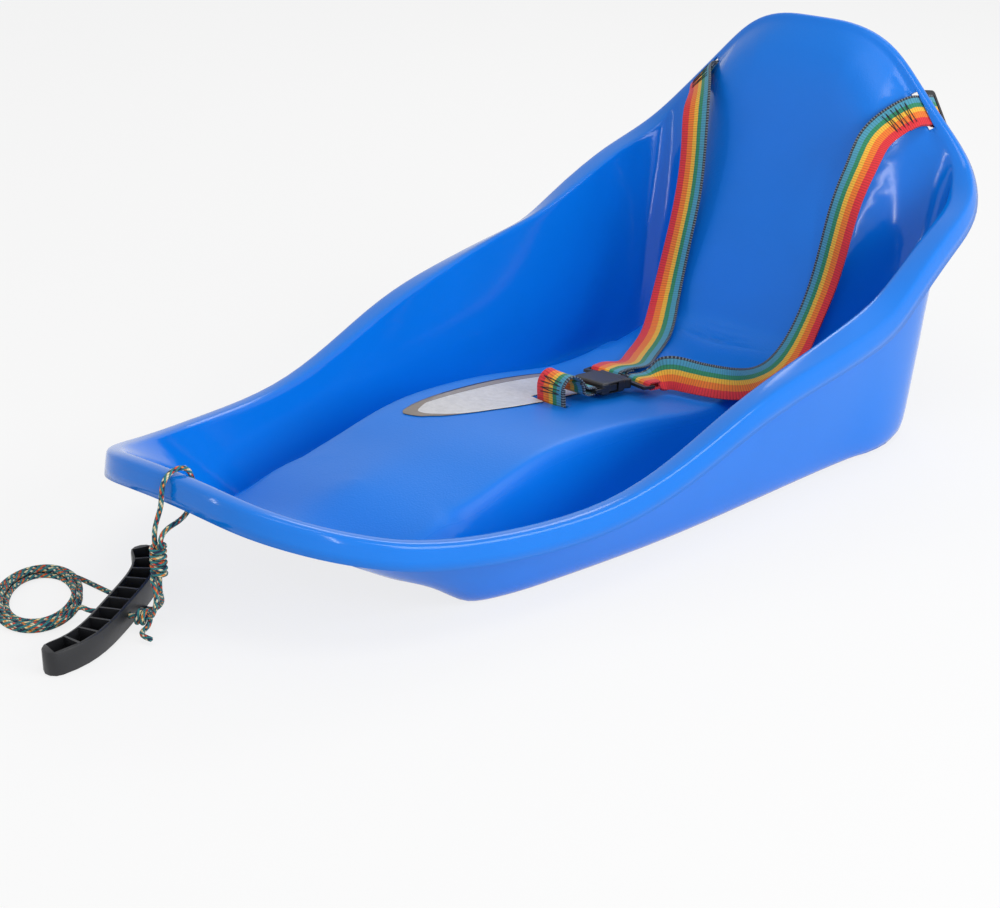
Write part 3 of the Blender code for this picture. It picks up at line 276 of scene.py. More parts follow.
class HullSettings(bpy.types.PropertyGroup):
    """Colour and finish of the moulding."""
    colour: FloatVectorProperty(
        name="Colour", description="Dye of the polyethylene", subtype="COLOR", size=3,
        min=0, max=1, default=srgb("0679E2"))
    gloss: FloatProperty(
        name="Wall roughness", description="Roughness of the smooth walls and rim",
        subtype="FACTOR", min=0, max=1, default=0.13)
    matt: FloatProperty(
        name="Seat roughness", description="Roughness of the grained seat and backrest",
        subtype="FACTOR", min=0, max=1, default=0.42)
    grain: FloatProperty(
        name="Grain size", description="Distance between the grains of the seat's texture",
        unit="LENGTH", min=0.0005, max=0.005, default=0.0014)


class HarnessSettings(bpy.types.PropertyGroup):
    """Weave and thread of the harness."""
    rib: FloatProperty(
        name="Rib spacing", description="Distance between the ribs of the webbing",
        unit="LENGTH", min=0.0005, max=0.004, default=0.0024)
    thread: FloatProperty(
        name="Thread radius", description="Radius of the sewing thread",
        unit="LENGTH", min=0.0001, max=0.001, default=0.00042)


class RopeSettings(bpy.types.PropertyGroup):
    """Braid of the tow rope."""
    colour: FloatVectorProperty(
        name="Main colour", description="Colour of most strands of the braid",
        subtype="COLOR", size=3, min=0, max=1, default=srgb("258286"))
    crossing: FloatProperty(
        name="Crossing length", description="Length of rope from one crossing to the next",
        unit="LENGTH", min=0.001, max=0.01, default=0.0034)


class FittingSettings(bpy.types.PropertyGroup):
    """Colour and finish of the black fittings."""
    colour: FloatVectorProperty(
        name="Colour", description="Colour of the buckle, adjusters and grip",
        subtype="COLOR", size=3, min=0, max=1, default=srgb("17181B"))
    roughness: FloatProperty(
        name="Roughness", description="Roughness of the black plastic",
        subtype="FACTOR", min=0, max=1, default=0.42)


class StageSettings(bpy.types.PropertyGroup):
    """Light round the sled."""
    ambient: FloatProperty(
        name="Ambient light", description="Strength of the even light from all sides",
        min=0, max=2, default=0.45)
    key: FloatProperty(
        name="Key lamp", description="Power of the large lamp at the side",
        unit="POWER", min=0, max=200, default=23)


def spline(knots, values, places):
    """Natural cubic through (knot, value) rows, read at the given places."""
    knots = np.asarray(knots, float)
    values = np.asarray(values, float)
    gap = np.diff(knots)
    slope = np.diff(values, axis=0) / gap[:, None]
    system = np.eye(len(knots))
    right = np.zeros_like(values)
    for k in range(1, len(knots) - 1):
        system[k, k - 1:k + 2] = gap[k - 1], 2 * (gap[k - 1] + gap[k]), gap[k]
        right[k] = 6 * (slope[k] - slope[k - 1])
    bend = np.linalg.solve(system, right)
    places = np.asarray(places, float)
    k = np.clip(np.searchsorted(knots, places, side="right") - 1, 0, len(knots) - 2)
    t = (places - knots[k])[:, None]
    h = gap[k][:, None]
    return (values[k] + t * (slope[k] - h * (2 * bend[k] + bend[k + 1]) / 6)
            + t * t * bend[k] / 2 + t ** 3 * (bend[k + 1] - bend[k]) / (6 * h))


def ease(value):
    """Smooth step from 0 to 1."""
    value = np.clip(value, 0.0, 1.0)
    return value * value * (3 - 2 * value)


def unit(rows):
    """Rows scaled to length one."""
    rows = np.asarray(rows, float)
    return rows / np.maximum(np.linalg.norm(rows, axis=-1, keepdims=True), 1e-12)


def way_along(points):
    """Distance from the first point to each point, along the line."""
    return np.r_[0, np.cumsum(np.linalg.norm(np.diff(points, axis=0), axis=1))]


def read_line(way, rows, places):
    """Rows read between their distances along a line."""
    return np.column_stack([np.interp(places, way, rows[:, k]) for k in range(rows.shape[1])])


def smooth_route(route, step):
    """Points at an even step on a smooth curve through given points."""
    route = np.asarray(route, float)
    way = way_along(route)
    fine = spline(way, route, np.linspace(0, way[-1], 400))
    way = way_along(fine)
    count = max(2, int(round(way[-1] / step)) + 1)
    return read_line(way, fine, np.linspace(0, way[-1], count))


def set_inputs(node, inputs):
    """Set or link a node's inputs. A node given as a value stands for its own output."""
    for key, value in inputs.items():
        if isinstance(value, bpy.types.Node):
            value = next(socket for socket in value.outputs if socket.enabled)
        if isinstance(value, bpy.types.NodeSocket):
            node.id_data.links.new(value, node.inputs[key])
        else:
            node.inputs[key].default_value = value


def add_node(tree, kind, inputs=None, **settings):
    """Shader node with its settings, and its inputs set or linked."""
    node = tree.nodes.new("ShaderNode" + kind)
    for name, value in settings.items():
        setattr(node, name, value)
    set_inputs(node, inputs or {})
    return node


def set_bands(node, bands):
    """Hard-edged bands of a colour ramp: (place, sRGB hex or linear colour) pairs."""
    ramp = node.color_ramp
    ramp.interpolation = "CONSTANT"
    while len(ramp.elements) < len(bands):
        ramp.elements.new(1.0)
    for element, (place, colour) in zip(ramp.elements, bands):
        element.position = place
        element.color = (*(srgb(colour) if isinstance(colour, str) else colour), 1)
    return node


def start_material(name):
    """Empty material, the function that adds its nodes, and its Principled shader."""
    material = bpy.data.materials.new(name)
    material.use_nodes = True
    tree = material.node_tree
    return material, partial(add_node, tree), tree.nodes["Principled BSDF"]


def moulded_polyethylene(settings):
    """Polyethylene, moulded, with the dye all through it: waxy gloss, with a grained seat and
    backrest.
    """
    material, add, shader = start_material("moulded_polyethylene")
    place = add("TexCoord").outputs["Object"]
    axes = add("SeparateXYZ", {0: place}).outputs
    side = add("Math", {0: axes["X"]}, operation="ABSOLUTE")
    inside, behind = [
        add("MapRange", {"Value": value, "From Min": first, "From Max": last},
                 interpolation_type="SMOOTHSTEP")
        for value, (first, last) in ((side, GRAIN_SIDE), (axes["Y"], GRAIN_FRONT))]
    seat = add("Math", {0: inside, 1: behind}, operation="MULTIPLY")
    # dye clouds a hand's breadth wide
    cloud = add("TexNoise", {"Vector": place, "Scale": 1 / DYE_CLOUD, "Detail": 3.0})
    low = [(1 - DYE_DRIFT) * part for part in settings.colour]
    high = [min(1.0, (1 + DYE_DRIFT) * part) for part in settings.colour]
    dye = add("Mix", {"Factor": cloud, "A": (*low, 1), "B": (*high, 1)}, data_type="RGBA")
    rough = add("Mix", {"Factor": seat, 2: settings.gloss, 3: settings.matt}, data_type="FLOAT")
    # leather-like grain on the seat, and slow ripples of the cooled sheet elsewhere
    grain = add("TexVoronoi", {"Vector": place, "Scale": 1 / settings.grain}, feature="SMOOTH_F1")
    pebbles = add("Math", {0: grain, 1: seat}, operation="MULTIPLY")
    ripple = add("TexNoise", {"Vector": place, "Scale": 1 / RIPPLE, "Detail": 1.0})
    waves = add("Bump", {"Strength": 0.15, "Distance": 0.0004, "Height": ripple})
    bump = add("Bump", {"Strength": 0.5, "Distance": 0.00025, "Height": pebbles, "Normal": waves})
    set_inputs(shader, {"Base Color": dye, "Roughness": rough, "Normal": bump, "IOR": 1.51,
                        "Specular IOR Level": 0.32})
    return material


def striped_webbing(settings):
    """Polyester webbing, woven: stripes of dye in the warp, fine ribs across with painted shade
    between them, soft sheen.
    """
    material, add, shader = start_material("woven_webbing")
    place = add("UVMap", uv_map="weave")
    axes = add("SeparateXYZ", {0: place}).outputs
    # warp ends drift a little from side to side, so that the stripes' edges aren't ruled
    drift = add("TexNoise", {"Vector": place, "Scale": 160.0, "Detail": 1.0})
    shift = add("Math", {0: drift, 1: WARP_DRIFT, 2: -WARP_DRIFT / 2}, operation="MULTIPLY_ADD")
    moved = add("Math", {0: axes["X"], 1: shift}, operation="ADD")
    stripes = set_bands(add("ValToRGB", {"Fac": moved}), STRIPES)
    # ribs of the weft along the strap, and its warp ends side by side
    waves = []
    for axis, rate in ((axes["Y"], 1 / settings.rib), (axes["X"], WARP_ENDS)):
        turn = add("Math", {0: axis, 1: math.pi * rate}, operation="MULTIPLY")
        wave = add("Math", {0: turn}, operation="SINE")
        waves.append(add("Math", {0: wave}, operation="ABSOLUTE"))
    rib, warp = waves
    height = add("Math", {0: warp, 1: WARP_RIB, 2: rib}, operation="MULTIPLY_ADD")
    # painted shade: the stripes' colour darkens in the hollows between the ribs and warp ends and
    # lightens a little on their tops
    shade = add("MapRange", {"Value": height, "From Max": 0.9, "To Min": 0.45, "To Max": 1.06})
    dye_and_shade = add("Mix", {"Factor": 1.0, "A": stripes, "B": shade},
                    data_type="RGBA", blend_type="MULTIPLY")
    # pale weft shows as dots between the black warp ends of the selvedge
    edge = add("Math", {0: moved, 1: SELVEDGE_START}, operation="GREATER_THAN")
    height_from, strength = WEFT_SHOWS
    dots = add("Math", {0: rib, 1: height_from}, operation="GREATER_THAN")
    both = add("Math", {0: edge, 1: dots}, operation="MULTIPLY")
    pale = add("Math", {0: both, 1: strength}, operation="MULTIPLY")
    dye_and_shade = add("Mix", {"Factor": pale, "A": dye_and_shade, "B": (*srgb(WEFT), 1)}, data_type="RGBA")
    bump = add("Bump", {"Strength": 0.7, "Distance": 0.0004, "Height": height})
    set_inputs(shader, {"Base Color": dye_and_shade, "Normal": bump, "Roughness": 0.72,
                        "Sheen Weight": 0.15})
    return material


def braided_rope(settings):
    """Polyester rope, braided from twelve strands: matt, with coloured flecks where strands of
    other dyes rise, and painted shade between the strands.
    """
    material, add, shader = start_material("braided_rope")
    place = add("UVMap", uv_map="braid")
    axes = add("SeparateXYZ", {0: place}).outputs
    count = len(STRANDS_LEFT)
    turn = add("Math", {0: axes["X"], 1: count}, operation="MULTIPLY")
    rise = add("Math", {0: axes["Y"], 1: settings.crossing}, operation="DIVIDE")
    strands, floors, humps = [], [], []
    for operation, colours in (("ADD", STRANDS_LEFT), ("SUBTRACT", STRANDS_RIGHT)):
        helix = add("Math", {0: turn, 1: rise}, operation=operation)
        lap = add("Math", {0: helix, 1: float(count)}, operation="FLOORED_MODULO")
        share = add("Math", {0: lap, 1: float(count)}, operation="DIVIDE")
        bands = [(k / count, colour or settings.colour) for k, colour in enumerate(colours)]
        strands.append(set_bands(add("ValToRGB", {"Fac": share}), bands))
        floors.append(add("Math", {0: helix}, operation="FLOOR"))
        part = add("Math", {0: helix}, operation="FRACT")
        angle = add("Math", {0: part, 1: math.pi}, operation="MULTIPLY")
        humps.append(add("Math", {0: angle}, operation="SINE"))
    # the strands of one way lie on top wherever the two cell numbers add up to an odd one
    both = add("Math", {0: floors[0], 1: floors[1]}, operation="ADD")
    over = add("Math", {0: both, 1: 2.0}, operation="FLOORED_MODULO")
    colour = add("Mix", {"Factor": over, "A": strands[0], "B": strands[1]}, data_type="RGBA")
    # painted shade: the colour darkens where the strands dip between crossings and lightens a
    # little on their domes
    dome = add("Math", {0: humps[0], 1: humps[1]}, operation="MULTIPLY")
    height = add("Math", {0: dome}, operation="SQRT")
    shade = add("MapRange", {"Value": height, "To Min": 0.5, "To Max": 1.1})
    dye_and_shade = add("Mix", {"Factor": 1.0, "A": colour, "B": shade},
                    data_type="RGBA", blend_type="MULTIPLY")
    bump = add("Bump", {"Strength": 0.8, "Distance": 0.0006, "Height": height})
    set_inputs(shader, {"Base Color": dye_and_shade, "Normal": bump, "Roughness": 0.78,
                        "Sheen Weight": 0.1})
    return material


def black_plastic(settings):
    """The one black material of the grip, the buckle and the adjusters."""
    return bpy.data.materials.get("moulded_acetal") or moulded_acetal(settings)


def moulded_acetal(settings):
    """Acetal, injection moulded: dark satin skin with the mould's fine spark grain."""
    material, add, shader = start_material("moulded_acetal")
    place = add("TexCoord").outputs["Object"]
    grain = add("TexNoise", {"Vector": place, "Scale": 1 / SPARK_GRAIN, "Detail": 2.0})
    wear = add("TexNoise", {"Vector": place, "Scale": 1 / WEAR, "Detail": 4.0})
    light = [min(1.0, 1.9 * part + 0.002) for part in settings.colour]
    tone = add("Mix", {"Factor": wear, "A": (*settings.colour, 1), "B": (*light, 1)},
                    data_type="RGBA")
    rough = add("MapRange", {"Value": wear, "To Min": settings.roughness - 0.08,
                             "To Max": settings.roughness + 0.10})
    bump = add("Bump", {"Strength": 0.25, "Distance": 0.0001, "Height": grain})
    set_inputs(shader, {"Base Color": tone, "Roughness": rough, "Normal": bump, "IOR": 1.48})
    return material


def sewing_thread():
    """Polyester sewing thread, twisted, with black dye: matt with a faint twist."""
    material, add, shader = start_material("sewing_thread")
    place = add("TexCoord").outputs["Object"]
    twist = add("TexNoise", {"Vector": place, "Scale": 1 / THREAD_TWIST, "Detail": 1.0})
    tone = add("Mix", {"Factor": twist, "A": (*srgb("101014"), 1),
                       "B": (*srgb("2C2C34"), 1)}, data_type="RGBA")
    set_inputs(shader, {"Base Color": tone, "Roughness": 0.8})
    return material


def laminated_vinyl():
    """Vinyl sticker, cast and laminated: smooth white face, brown and black printed border."""
    material, add, shader = start_material("laminated_vinyl")
    place = add("UVMap", uv_map="print")
    axes = add("SeparateXYZ", {0: place}).outputs
    # the white field ends in a round nose behind the bow end
    middle, start, curve = NOSE
    off = add("Math", {0: axes["X"], 1: middle}, operation="SUBTRACT")
    off = add("Math", {0: off}, operation="ABSOLUTE")
    bulge = add("Math", {0: off, 1: 3.0}, operation="POWER")
    nose = add("Math", {0: bulge, 1: curve, 2: start}, operation="MULTIPLY_ADD")
    ahead = add("Math", {0: axes["Y"], 1: nose}, operation="LESS_THAN")
    bands = set_bands(add("ValToRGB", {"Fac": axes["X"]}), PRINT)
    border = add("Mix", {"Factor": ahead, "A": bands, "B": (*srgb(PRINT_BOW), 1)},
                      data_type="RGBA")
    # fine scuffs that snow and boots leave on the film
    surface = add("TexCoord").outputs["Object"]
    scuff = add("TexNoise", {"Vector": surface, "Scale": 1 / SCUFF, "Detail": 6.0,
                             "Roughness": 0.7})
    worn = add("MapRange", {"Value": scuff, "From Min": 0.35, "From Max": 0.70, "To Min": 0.80})
    colour = add("Mix", {"Factor": 1.0, "A": border, "B": worn},
                      data_type="RGBA", blend_type="MULTIPLY")
    rough = add("MapRange", {"Value": scuff, "To Min": 0.45, "To Max": 0.25})
    set_inputs(shader, {"Base Color": colour, "Roughness": rough, "IOR": 1.50})
    return material


def new_object(name, data):
    """Object in the scene's own collection."""
    thing = bpy.data.objects.new(name, data)
    bpy.context.scene.collection.objects.link(thing)
    return thing


def add_piece(name, data, material):
    """Piece that rides on the sled, with its finish."""
    piece = new_object(name, data)
    data.materials.clear()
    data.materials.append(material)
    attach(piece, BODY)
    return piece


def bent_grid(uv_name, across, along, length, place):
    """Grid of squares with its points moved to place(share across, share along)."""
    shell = bmesh.new()
    uv = shell.loops.layers.uv.new(uv_name)
    bmesh.ops.create_grid(shell, x_segments=across, y_segments=along, size=0.5, calc_uvs=False)
    flat = np.array([vert.co[:2] for vert in shell.verts]) + 0.5
    for face in shell.faces:
        for loop in face.loops:
            share = flat[loop.vert.index]
            loop[uv].uv = (share[0], share[1] * length)
    for vert, point in zip(shell.verts, place(flat[:, 0], flat[:, 1])):
        vert.co = point
    return shell


def smooth_mesh(name, shell):
    """Smoothly shaded mesh from an edited one."""
    mesh = bpy.data.meshes.new(name)
    shell.to_mesh(mesh)
    shell.free()
    mesh.shade_smooth()
    return mesh


def welded_mesh(name, shell):
    """The same with its seams merged and its faces turned outwards."""
    bmesh.ops.remove_doubles(shell, verts=shell.verts, dist=WELD)
    bmesh.ops.recalc_face_normals(shell, faces=shell.faces)
    return smooth_mesh(name, shell)


def node_shell(name):
    """Editable copy of a node's own mesh, with its loose triangles joined up."""
    shell = bmesh.new()
    shell.from_mesh(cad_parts[name].data)
    bmesh.ops.remove_doubles(shell, verts=shell.verts, dist=WELD)
    return shell


def make_stretch(name, points, material):
    """Stretch of rope along points, with rounded ends."""
    points = np.asarray(points, float) + SHIFT
    way = way_along(points)
    length = way[-1]
    along = unit(np.gradient(points, way, axis=0))
    side = [unit(np.cross(along[0], (0.3, 0.5, 0.81)))]
    for ahead in along[1:]:
        step = side[-1] - np.dot(side[-1], ahead) * ahead
        side.append(unit(step))
    side = np.array(side)
    rest = np.cross(along, side)

    def place(share, run):
        reach = run * length
        middle = read_line(way, points, reach)
        first, second = unit(read_line(way, side, reach)), unit(read_line(way, rest, reach))
        edge = np.minimum(reach, length - reach) / ROPE
        radius = ROPE * np.sqrt(np.clip(1 - (1 - np.minimum(edge, 1)) ** 2, 0, 1))
        angle = 2 * math.pi * share
        return (middle + first * (radius * np.cos(angle))[:, None]
                + second * (radius * np.sin(angle))[:, None])

    shell = bent_grid("braid", ROPE_SIDES, max(8, int(length / ROPE_STEP)), length, place)
    return add_piece(name, welded_mesh(name, shell), material)


def frame_of(origin, along, across):
    """Matrix with X along the first direction and Y nearest to the second."""
    x = Vector(along).normalized()
    z = x.cross(Vector(across)).normalized()
    y = z.cross(x)
    return Matrix.Translation(Vector(origin)) @ Matrix((x, y, z)).transposed().to_4x4()


def barrel_knot(centre, axis, start, turns, tail):
    """Wraps round an axis, one end straight and short, the other a loose tail."""
    axis = unit(axis)
    side = unit(np.cross(axis, start))
    start = np.cross(side, axis)
    steps = int(turns * KNOT_STEPS)
    points = []
    for k in range(steps + 1):
        angle = 2 * math.pi * turns * k / steps
        height = KNOT_PITCH * turns * (0.5 - k / steps)
        points.append(np.asarray(centre) + axis * height
                      + KNOT_TURN * (start * math.cos(angle) + side * math.sin(angle)))
    points = np.array(points)
    out = unit(points[0] - points[1])
    ahead = unit(points[-1] - points[-2])
    lead_in = points[0] + out * 2 * ROPE
    route = [points[-1], points[-1] + ahead * 2.2 * ROPE] + [np.asarray(p) for p in tail]
    return np.vstack([lead_in, points[:-1], smooth_route(route, TAIL_STEP)])


def coil_points():
    """Oval loops that wind in, climb one layer and wind out again."""
    heading = math.radians(COIL_HEADING)
    long_way = np.array([math.cos(heading), math.sin(heading)])
    wide_way = np.array([-math.sin(heading), math.cos(heading)])
    first = math.radians(COIL_START)
    turns = 2 * COIL_TURNS_IN
    points = []
    for turn in np.linspace(0, turns, int(round(turns * COIL_STEPS)) + 1):
        angle = first + 2 * math.pi * turn
        inset = COIL_PITCH * (COIL_TURNS_IN - abs(turn - COIL_TURNS_IN))
        climb = np.clip((turn - COIL_TURNS_IN) / COIL_CLIMB + 0.5, 0, 1)
        flat = (np.array(COIL_CENTRE) + (COIL_LONG - inset) * math.cos(angle) * long_way
                + (COIL_WIDE - inset) * math.sin(angle) * wide_way)
        points.append((*flat, ROPE + 0.0001 + COIL_RISE * climb))
    return np.array(points)


def grip_point(x, y, z):
    """Point of the grip's own frame in the sled's frame."""
    low, high = Vector(GRIP_LOW), Vector(GRIP_HIGH)
    along = low - high
    return np.array(frame_of((low + high) / 2, along, (-along.y, along.x, 0))
                    @ Vector((x, y, z)))


def make_grip(settings):
    """Ribbed grip with smooth sides between its sharp edges."""
    mesh = smooth_mesh("ribbed_grip", node_shell("tow_grip"))
    kept_normals = mesh.attributes.get("custom_normal")
    if kept_normals:
        mesh.attributes.remove(kept_normals)
    mesh.set_sharp_from_angle(angle=math.radians(GRIP_CORNER))
    grip = add_piece("ribbed_grip", mesh, black_plastic(settings))
    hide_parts("tow_grip")
    return grip


def make_rope(settings):
    """Loop through the bow, its knot, the long coiled rope and the knot on the grip."""
    braid = braided_rope(settings)
    loop_line = smooth_route(LOOP_ROUTE, LOOP_STEP)
    loop = make_stretch("bow_loop", loop_line, braid)
    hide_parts("rope_loop")
    knot_line = barrel_knot(LIP_KNOT, (0, 0, 1), (0.6, 0.8, 0), LIP_KNOT_TURNS, LIP_TAIL)
    knot = make_stretch("bow_knot", knot_line, braid)
    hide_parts("lip_knot")

    coil = coil_points()
    run_in, run_out = unit(coil[1] - coil[0]), unit(coil[-1] - coil[-2])
    start = coil[0] - run_in * (2 * ROPE + ROPE_GAP)
    calm_in, calm_out = COIL_LEAD
    lead = smooth_route(LEAD_ROUTE + [tuple(start - run_in * calm_in)], ROUTE_STEP)
    before, behind = GRIP_LEAD
    hole_in = grip_point(GRIP_HOLE_X, GRIP_BOW - GRIP_HALF - before, GRIP_HEIGHT / 2)
    hole_out = grip_point(GRIP_HOLE_X, GRIP_BOW + GRIP_HALF + behind, GRIP_HEIGHT / 2)
    through = unit(hole_out - hole_in)
    finish = coil[-1] + run_out * (2 * ROPE + ROPE_GAP)
    inside = [hole_in + through * reach for reach in GRIP_REACHES]
    bend = smooth_route([tuple(finish + run_out * calm_out)] + END_ROUTE
                        + [tuple(hole_in), tuple(inside[0])], ROUTE_STEP)
    line = np.vstack([lead, start, coil, finish, bend, *inside[1:], hole_out])
    rope = make_stretch("towing_rope", line, braid)
    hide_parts("tow_rope", "rope_coil", "rope_end")

    centre = grip_point(GRIP_HOLE_X, GRIP_BOW + GRIP_HALF + GRIP_KNOT_OFF, GRIP_HEIGHT / 2)
    wrap_line = barrel_knot(centre, -through, (0, 0, -1), GRIP_KNOT_TURNS, GRIP_TAIL)
    wrap = make_stretch("handle_knot", wrap_line, braid)
    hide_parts("grip_knot")

    def declare(points):
        points = points + SHIFT

    declare(loop_line)
    declare(knot_line)
    declare(line)
    declare(wrap_line)


class Strap:
    """Middle line of a strap, with the ways along it, across it and out of it."""

    def __init__(self, route):
        rows = np.array([(*p, *w) for p, w in route], float)
        way = way_along(rows[:, :3])
        places = np.linspace(0, way[-1], int(way[-1] / WEB_STEP) + 1)
        step = 1e-5
        ahead = spline(way, rows[:, :3], places + step)
        self.along = unit(ahead - spline(way, rows[:, :3], places - step))
        rows = spline(way, rows, places)
        self.points = rows[:, :3]
        width = rows[:, 3:]
        width -= np.sum(width * self.along, axis=1)[:, None] * self.along
        self.width = unit(width)
        self.normal = np.cross(self.along, self.width)

    def turn(self, last, side, tail):
        """Half turn round the bar at one end, and the sewn tail lying back on the strap."""
        k = -1 if last else 0
        out = self.along[k] if last else -self.along[k]
        normal = self.normal[k] * side
        bar = self.points[k] + normal * WEB_TURN
        angles = [math.pi * j / TURN_STEPS for j in range(1, TURN_STEPS + 1)]
        places = [(bar - normal * WEB_TURN * math.cos(angle)
                   + out * WEB_TURN * math.sin(angle), self.width[k]) for angle in angles]
        flip = -1 if last else 1
        points, widths = self.points[::flip], self.width[::flip]
        normals = self.normal[::flip] * side
        way = way_along(points)
        start, drop = TAIL_DROP
        for reach in np.arange(WEB_STEP, tail + WEB_STEP / 2, WEB_STEP):
            lift = (2 * WEB_TURN
                    + (WEB + TAIL_GAP - 2 * WEB_TURN) * ease((reach - start) / drop))
            at = [reach]
            point = read_line(way, points, at)[0]
            normal = unit(read_line(way, normals, at)[0])
            places.append((point + normal * lift, unit(read_line(way, widths, at)[0])))
        return places

    def at(self, reach, across, lift):
        """Point on the strap: distance along it, share across it and height over its face."""
        way = way_along(self.points)
        point, width, normal = (read_line(way, rows, reach)
                                for rows in (self.points, self.width, self.normal))
        return (point + unit(width) * (across * WEB_WIDTH)[:, None] + unit(normal) * lift)


def make_webbing(name, strap, node, material, start, finish):
    """Woven band along a strap, with its turns round the bars."""
    places = strap.turn(False, *start)[::-1] + list(zip(strap.points, strap.width))
    places += strap.turn(True, *finish)
    points = np.array([p for p, _ in places]) + SHIFT
    widths = np.array([w for _, w in places])
    way = way_along(points)

    def place(share, run):
        reach = run * way[-1]
        return (read_line(way, points, reach)
                + unit(read_line(way, widths, reach)) * ((share - 0.5) * WEB_WIDTH)[:, None])

    shell = bent_grid("weave", 6, int(way[-1] / WEB_STEP), way[-1], place)
    band = add_piece(name, smooth_mesh(name, shell), material)
    thick = band.modifiers.new("thickness", "SOLIDIFY")
    thick.thickness = WEB
    thick.offset = 0
    thick.use_even_offset = True
    edge = band.modifiers.new("selvedge", "BEVEL")
    edge.width = WEB_SELVEDGE
    edge.segments = 2
    edge.limit_method = "ANGLE"
    edge.angle_limit = math.radians(50)
    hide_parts(node)


def sew(name, strap, rows, lift, material, radius):
    """Sewn zigzags on a strap: each row is (start, end, stitches) along the strap."""
    curve = bpy.data.curves.new(name, "CURVE")
    curve.dimensions = "3D"
    curve.bevel_depth = radius
    curve.bevel_resolution = 1
    curve.use_fill_caps = True
    for first, last, count in rows:
        reach = np.linspace(first, last, count + 1)
        across = np.where(np.arange(count + 1) % 2, SEAM_REACH, -SEAM_REACH)
        fine = np.linspace(0, count, 8 * count + 1)
        reach_fine = np.interp(fine, np.arange(count + 1), reach)
        across_fine = np.interp(fine, np.arange(count + 1), across)
        line = strap.at(reach_fine, across_fine, lift) + SHIFT
        run = curve.splines.new("POLY")
        run.points.add(len(line) - 1)
        for knot, point in zip(run.points, line):
            knot.co = (*point, 1.0)
    add_piece(name, curve, material)


def buckle_frame():
    """Frame of the buckle, tilted with the seat."""
    tilt = Matrix.Rotation(math.radians(BUCKLE_TILT), 4, "X")
    return Matrix.Translation(BUCKLE) @ tilt


def slot_route(centre, through, across, normal):
    """A strap's first places, from the bar behind a slot through the slot."""
    centre, normal, through = np.asarray(centre, float), unit(normal), unit(through)
    return [(centre + through * reach - normal * lift, across) for reach, lift in SLOT_STEPS]


def make_harness(settings):
    """Two shoulder straps and the crotch strap, with their stitching."""
    woven = striped_webbing(settings)
    thread = sewing_thread()
    lift = WEB / 2 + 0.4 * settings.thread
    frame_matrix = buckle_frame()
    turned = frame_matrix.to_3x3()
    for side, name, route in ((1, "right", RIGHT_ROUTE), (-1, "left", LEFT_ROUTE)):
        flip = np.array([side, 1, 1])
        through = unit(np.array(SLOT_THROUGH)) * flip
        across = unit(np.array(SLOT_ALONG)) * flip
        across = unit(across - np.dot(across, through) * through)
        normal = np.cross(-through, across) * side
        start = slot_route(np.array(SLOT_CENTRE) * flip, through, across, normal)
        angle = math.radians(YOKE_ANGLE) * side
        width = np.array(turned @ Vector((-side * math.cos(angle), side * math.sin(angle), 0)))
        back = np.array(turned @ Vector((math.sin(angle), math.cos(angle), 0)))
        last = np.array(frame_matrix @ Vector((side * YOKE_SPREAD, YOKE_BAR, WEB_TURN)))
        finish = [(last + back * reach, width) for reach in YOKE_REACHES]
        strap = Strap(start + route + finish)
        make_webbing(f"shoulder_webbing_{name}", strap, f"shoulder_strap_{name}", woven,
                     (side, SLOT_TAIL), (side, WEB_TAIL))
        sew(f"shoulder_stitches_{name}", strap, SHOULDER_SEAMS, -side * lift, thread,
            settings.thread)
    start = slot_route(CROTCH_SLOT, (0, 0, -1), (1, 0, 0), (0, 1, 0))
    bar = np.array(frame_matrix @ Vector((0, -BUCKLE_BAR, WEB_TURN)))
    back = np.array(turned @ Vector((0, 1, 0)))
    finish = [(bar - back * reach, (1, 0, 0)) for reach in HOUSING_REACHES]
    strap = Strap(start + CROTCH_ROUTE + finish)
    slot_tail, buckle_tail = CROTCH_TAILS
    make_webbing("crotch_webbing", strap, "crotch_strap", woven, (1, slot_tail), (1, buckle_tail))
    sew("crotch_stitches", strap, CROTCH_SEAMS, -lift, thread, settings.thread)


def make_hull(settings):
    """Smooth skin over the moulding's own faces."""
    shell = node_shell("hull")
    bend, skew = (math.radians(angle) for angle in FLAT_JOIN)
    bmesh.ops.join_triangles(shell, faces=shell.faces, angle_face_threshold=bend,
                             angle_shape_threshold=skew)
    place, reach, height = DIMPLE
    dimple = [vert for vert in shell.verts
              if math.hypot(vert.co.x, vert.co.y - place) < reach and vert.co.z > height]
    for _ in range(DIMPLE_PASSES):
        bmesh.ops.smooth_vert(shell, verts=dimple, factor=0.5, use_axis_z=True)
    rounded = []
    for edge in shell.edges:
        first, last = (vert.co for vert in edge.verts)
        run, middle = last - first, (first + last) / 2
        if (len(edge.link_faces) == 2 and edge.calc_face_angle() > math.radians(SEAT_CORNER)
                and abs(run.y) > abs(run.x) and SEAT_FRONT < middle.y < SEAT_REAR
                and abs(abs(middle.x) - SEAT_EDGE) < SEAT_EDGE_PLAY):
            rounded.append(edge)
    bmesh.ops.bevel(shell, geom=rounded, offset=SEAT_ROUND, offset_type="OFFSET", segments=2,
                    profile=0.5, affect="EDGES", clamp_overlap=True, material=-1)
    crease = shell.edges.layers.float.new("crease_edge")
    for edge in shell.edges:
        if len(edge.link_faces) == 2 and edge.calc_face_angle() > math.radians(HARD_CORNER):
            edge[crease] = CREASE
    hull = add_piece("moulded_hull", smooth_mesh("moulded_hull", shell),
                     moulded_polyethylene(settings))
    finer = hull.modifiers.new("finer", "SUBSURF")
    finer.levels = 1
    finer.render_levels = 1
    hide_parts("hull")
    bpy.context.view_layer.update()
    make_plate(BVHTree.FromObject(hull, bpy.context.evaluated_depsgraph_get()))


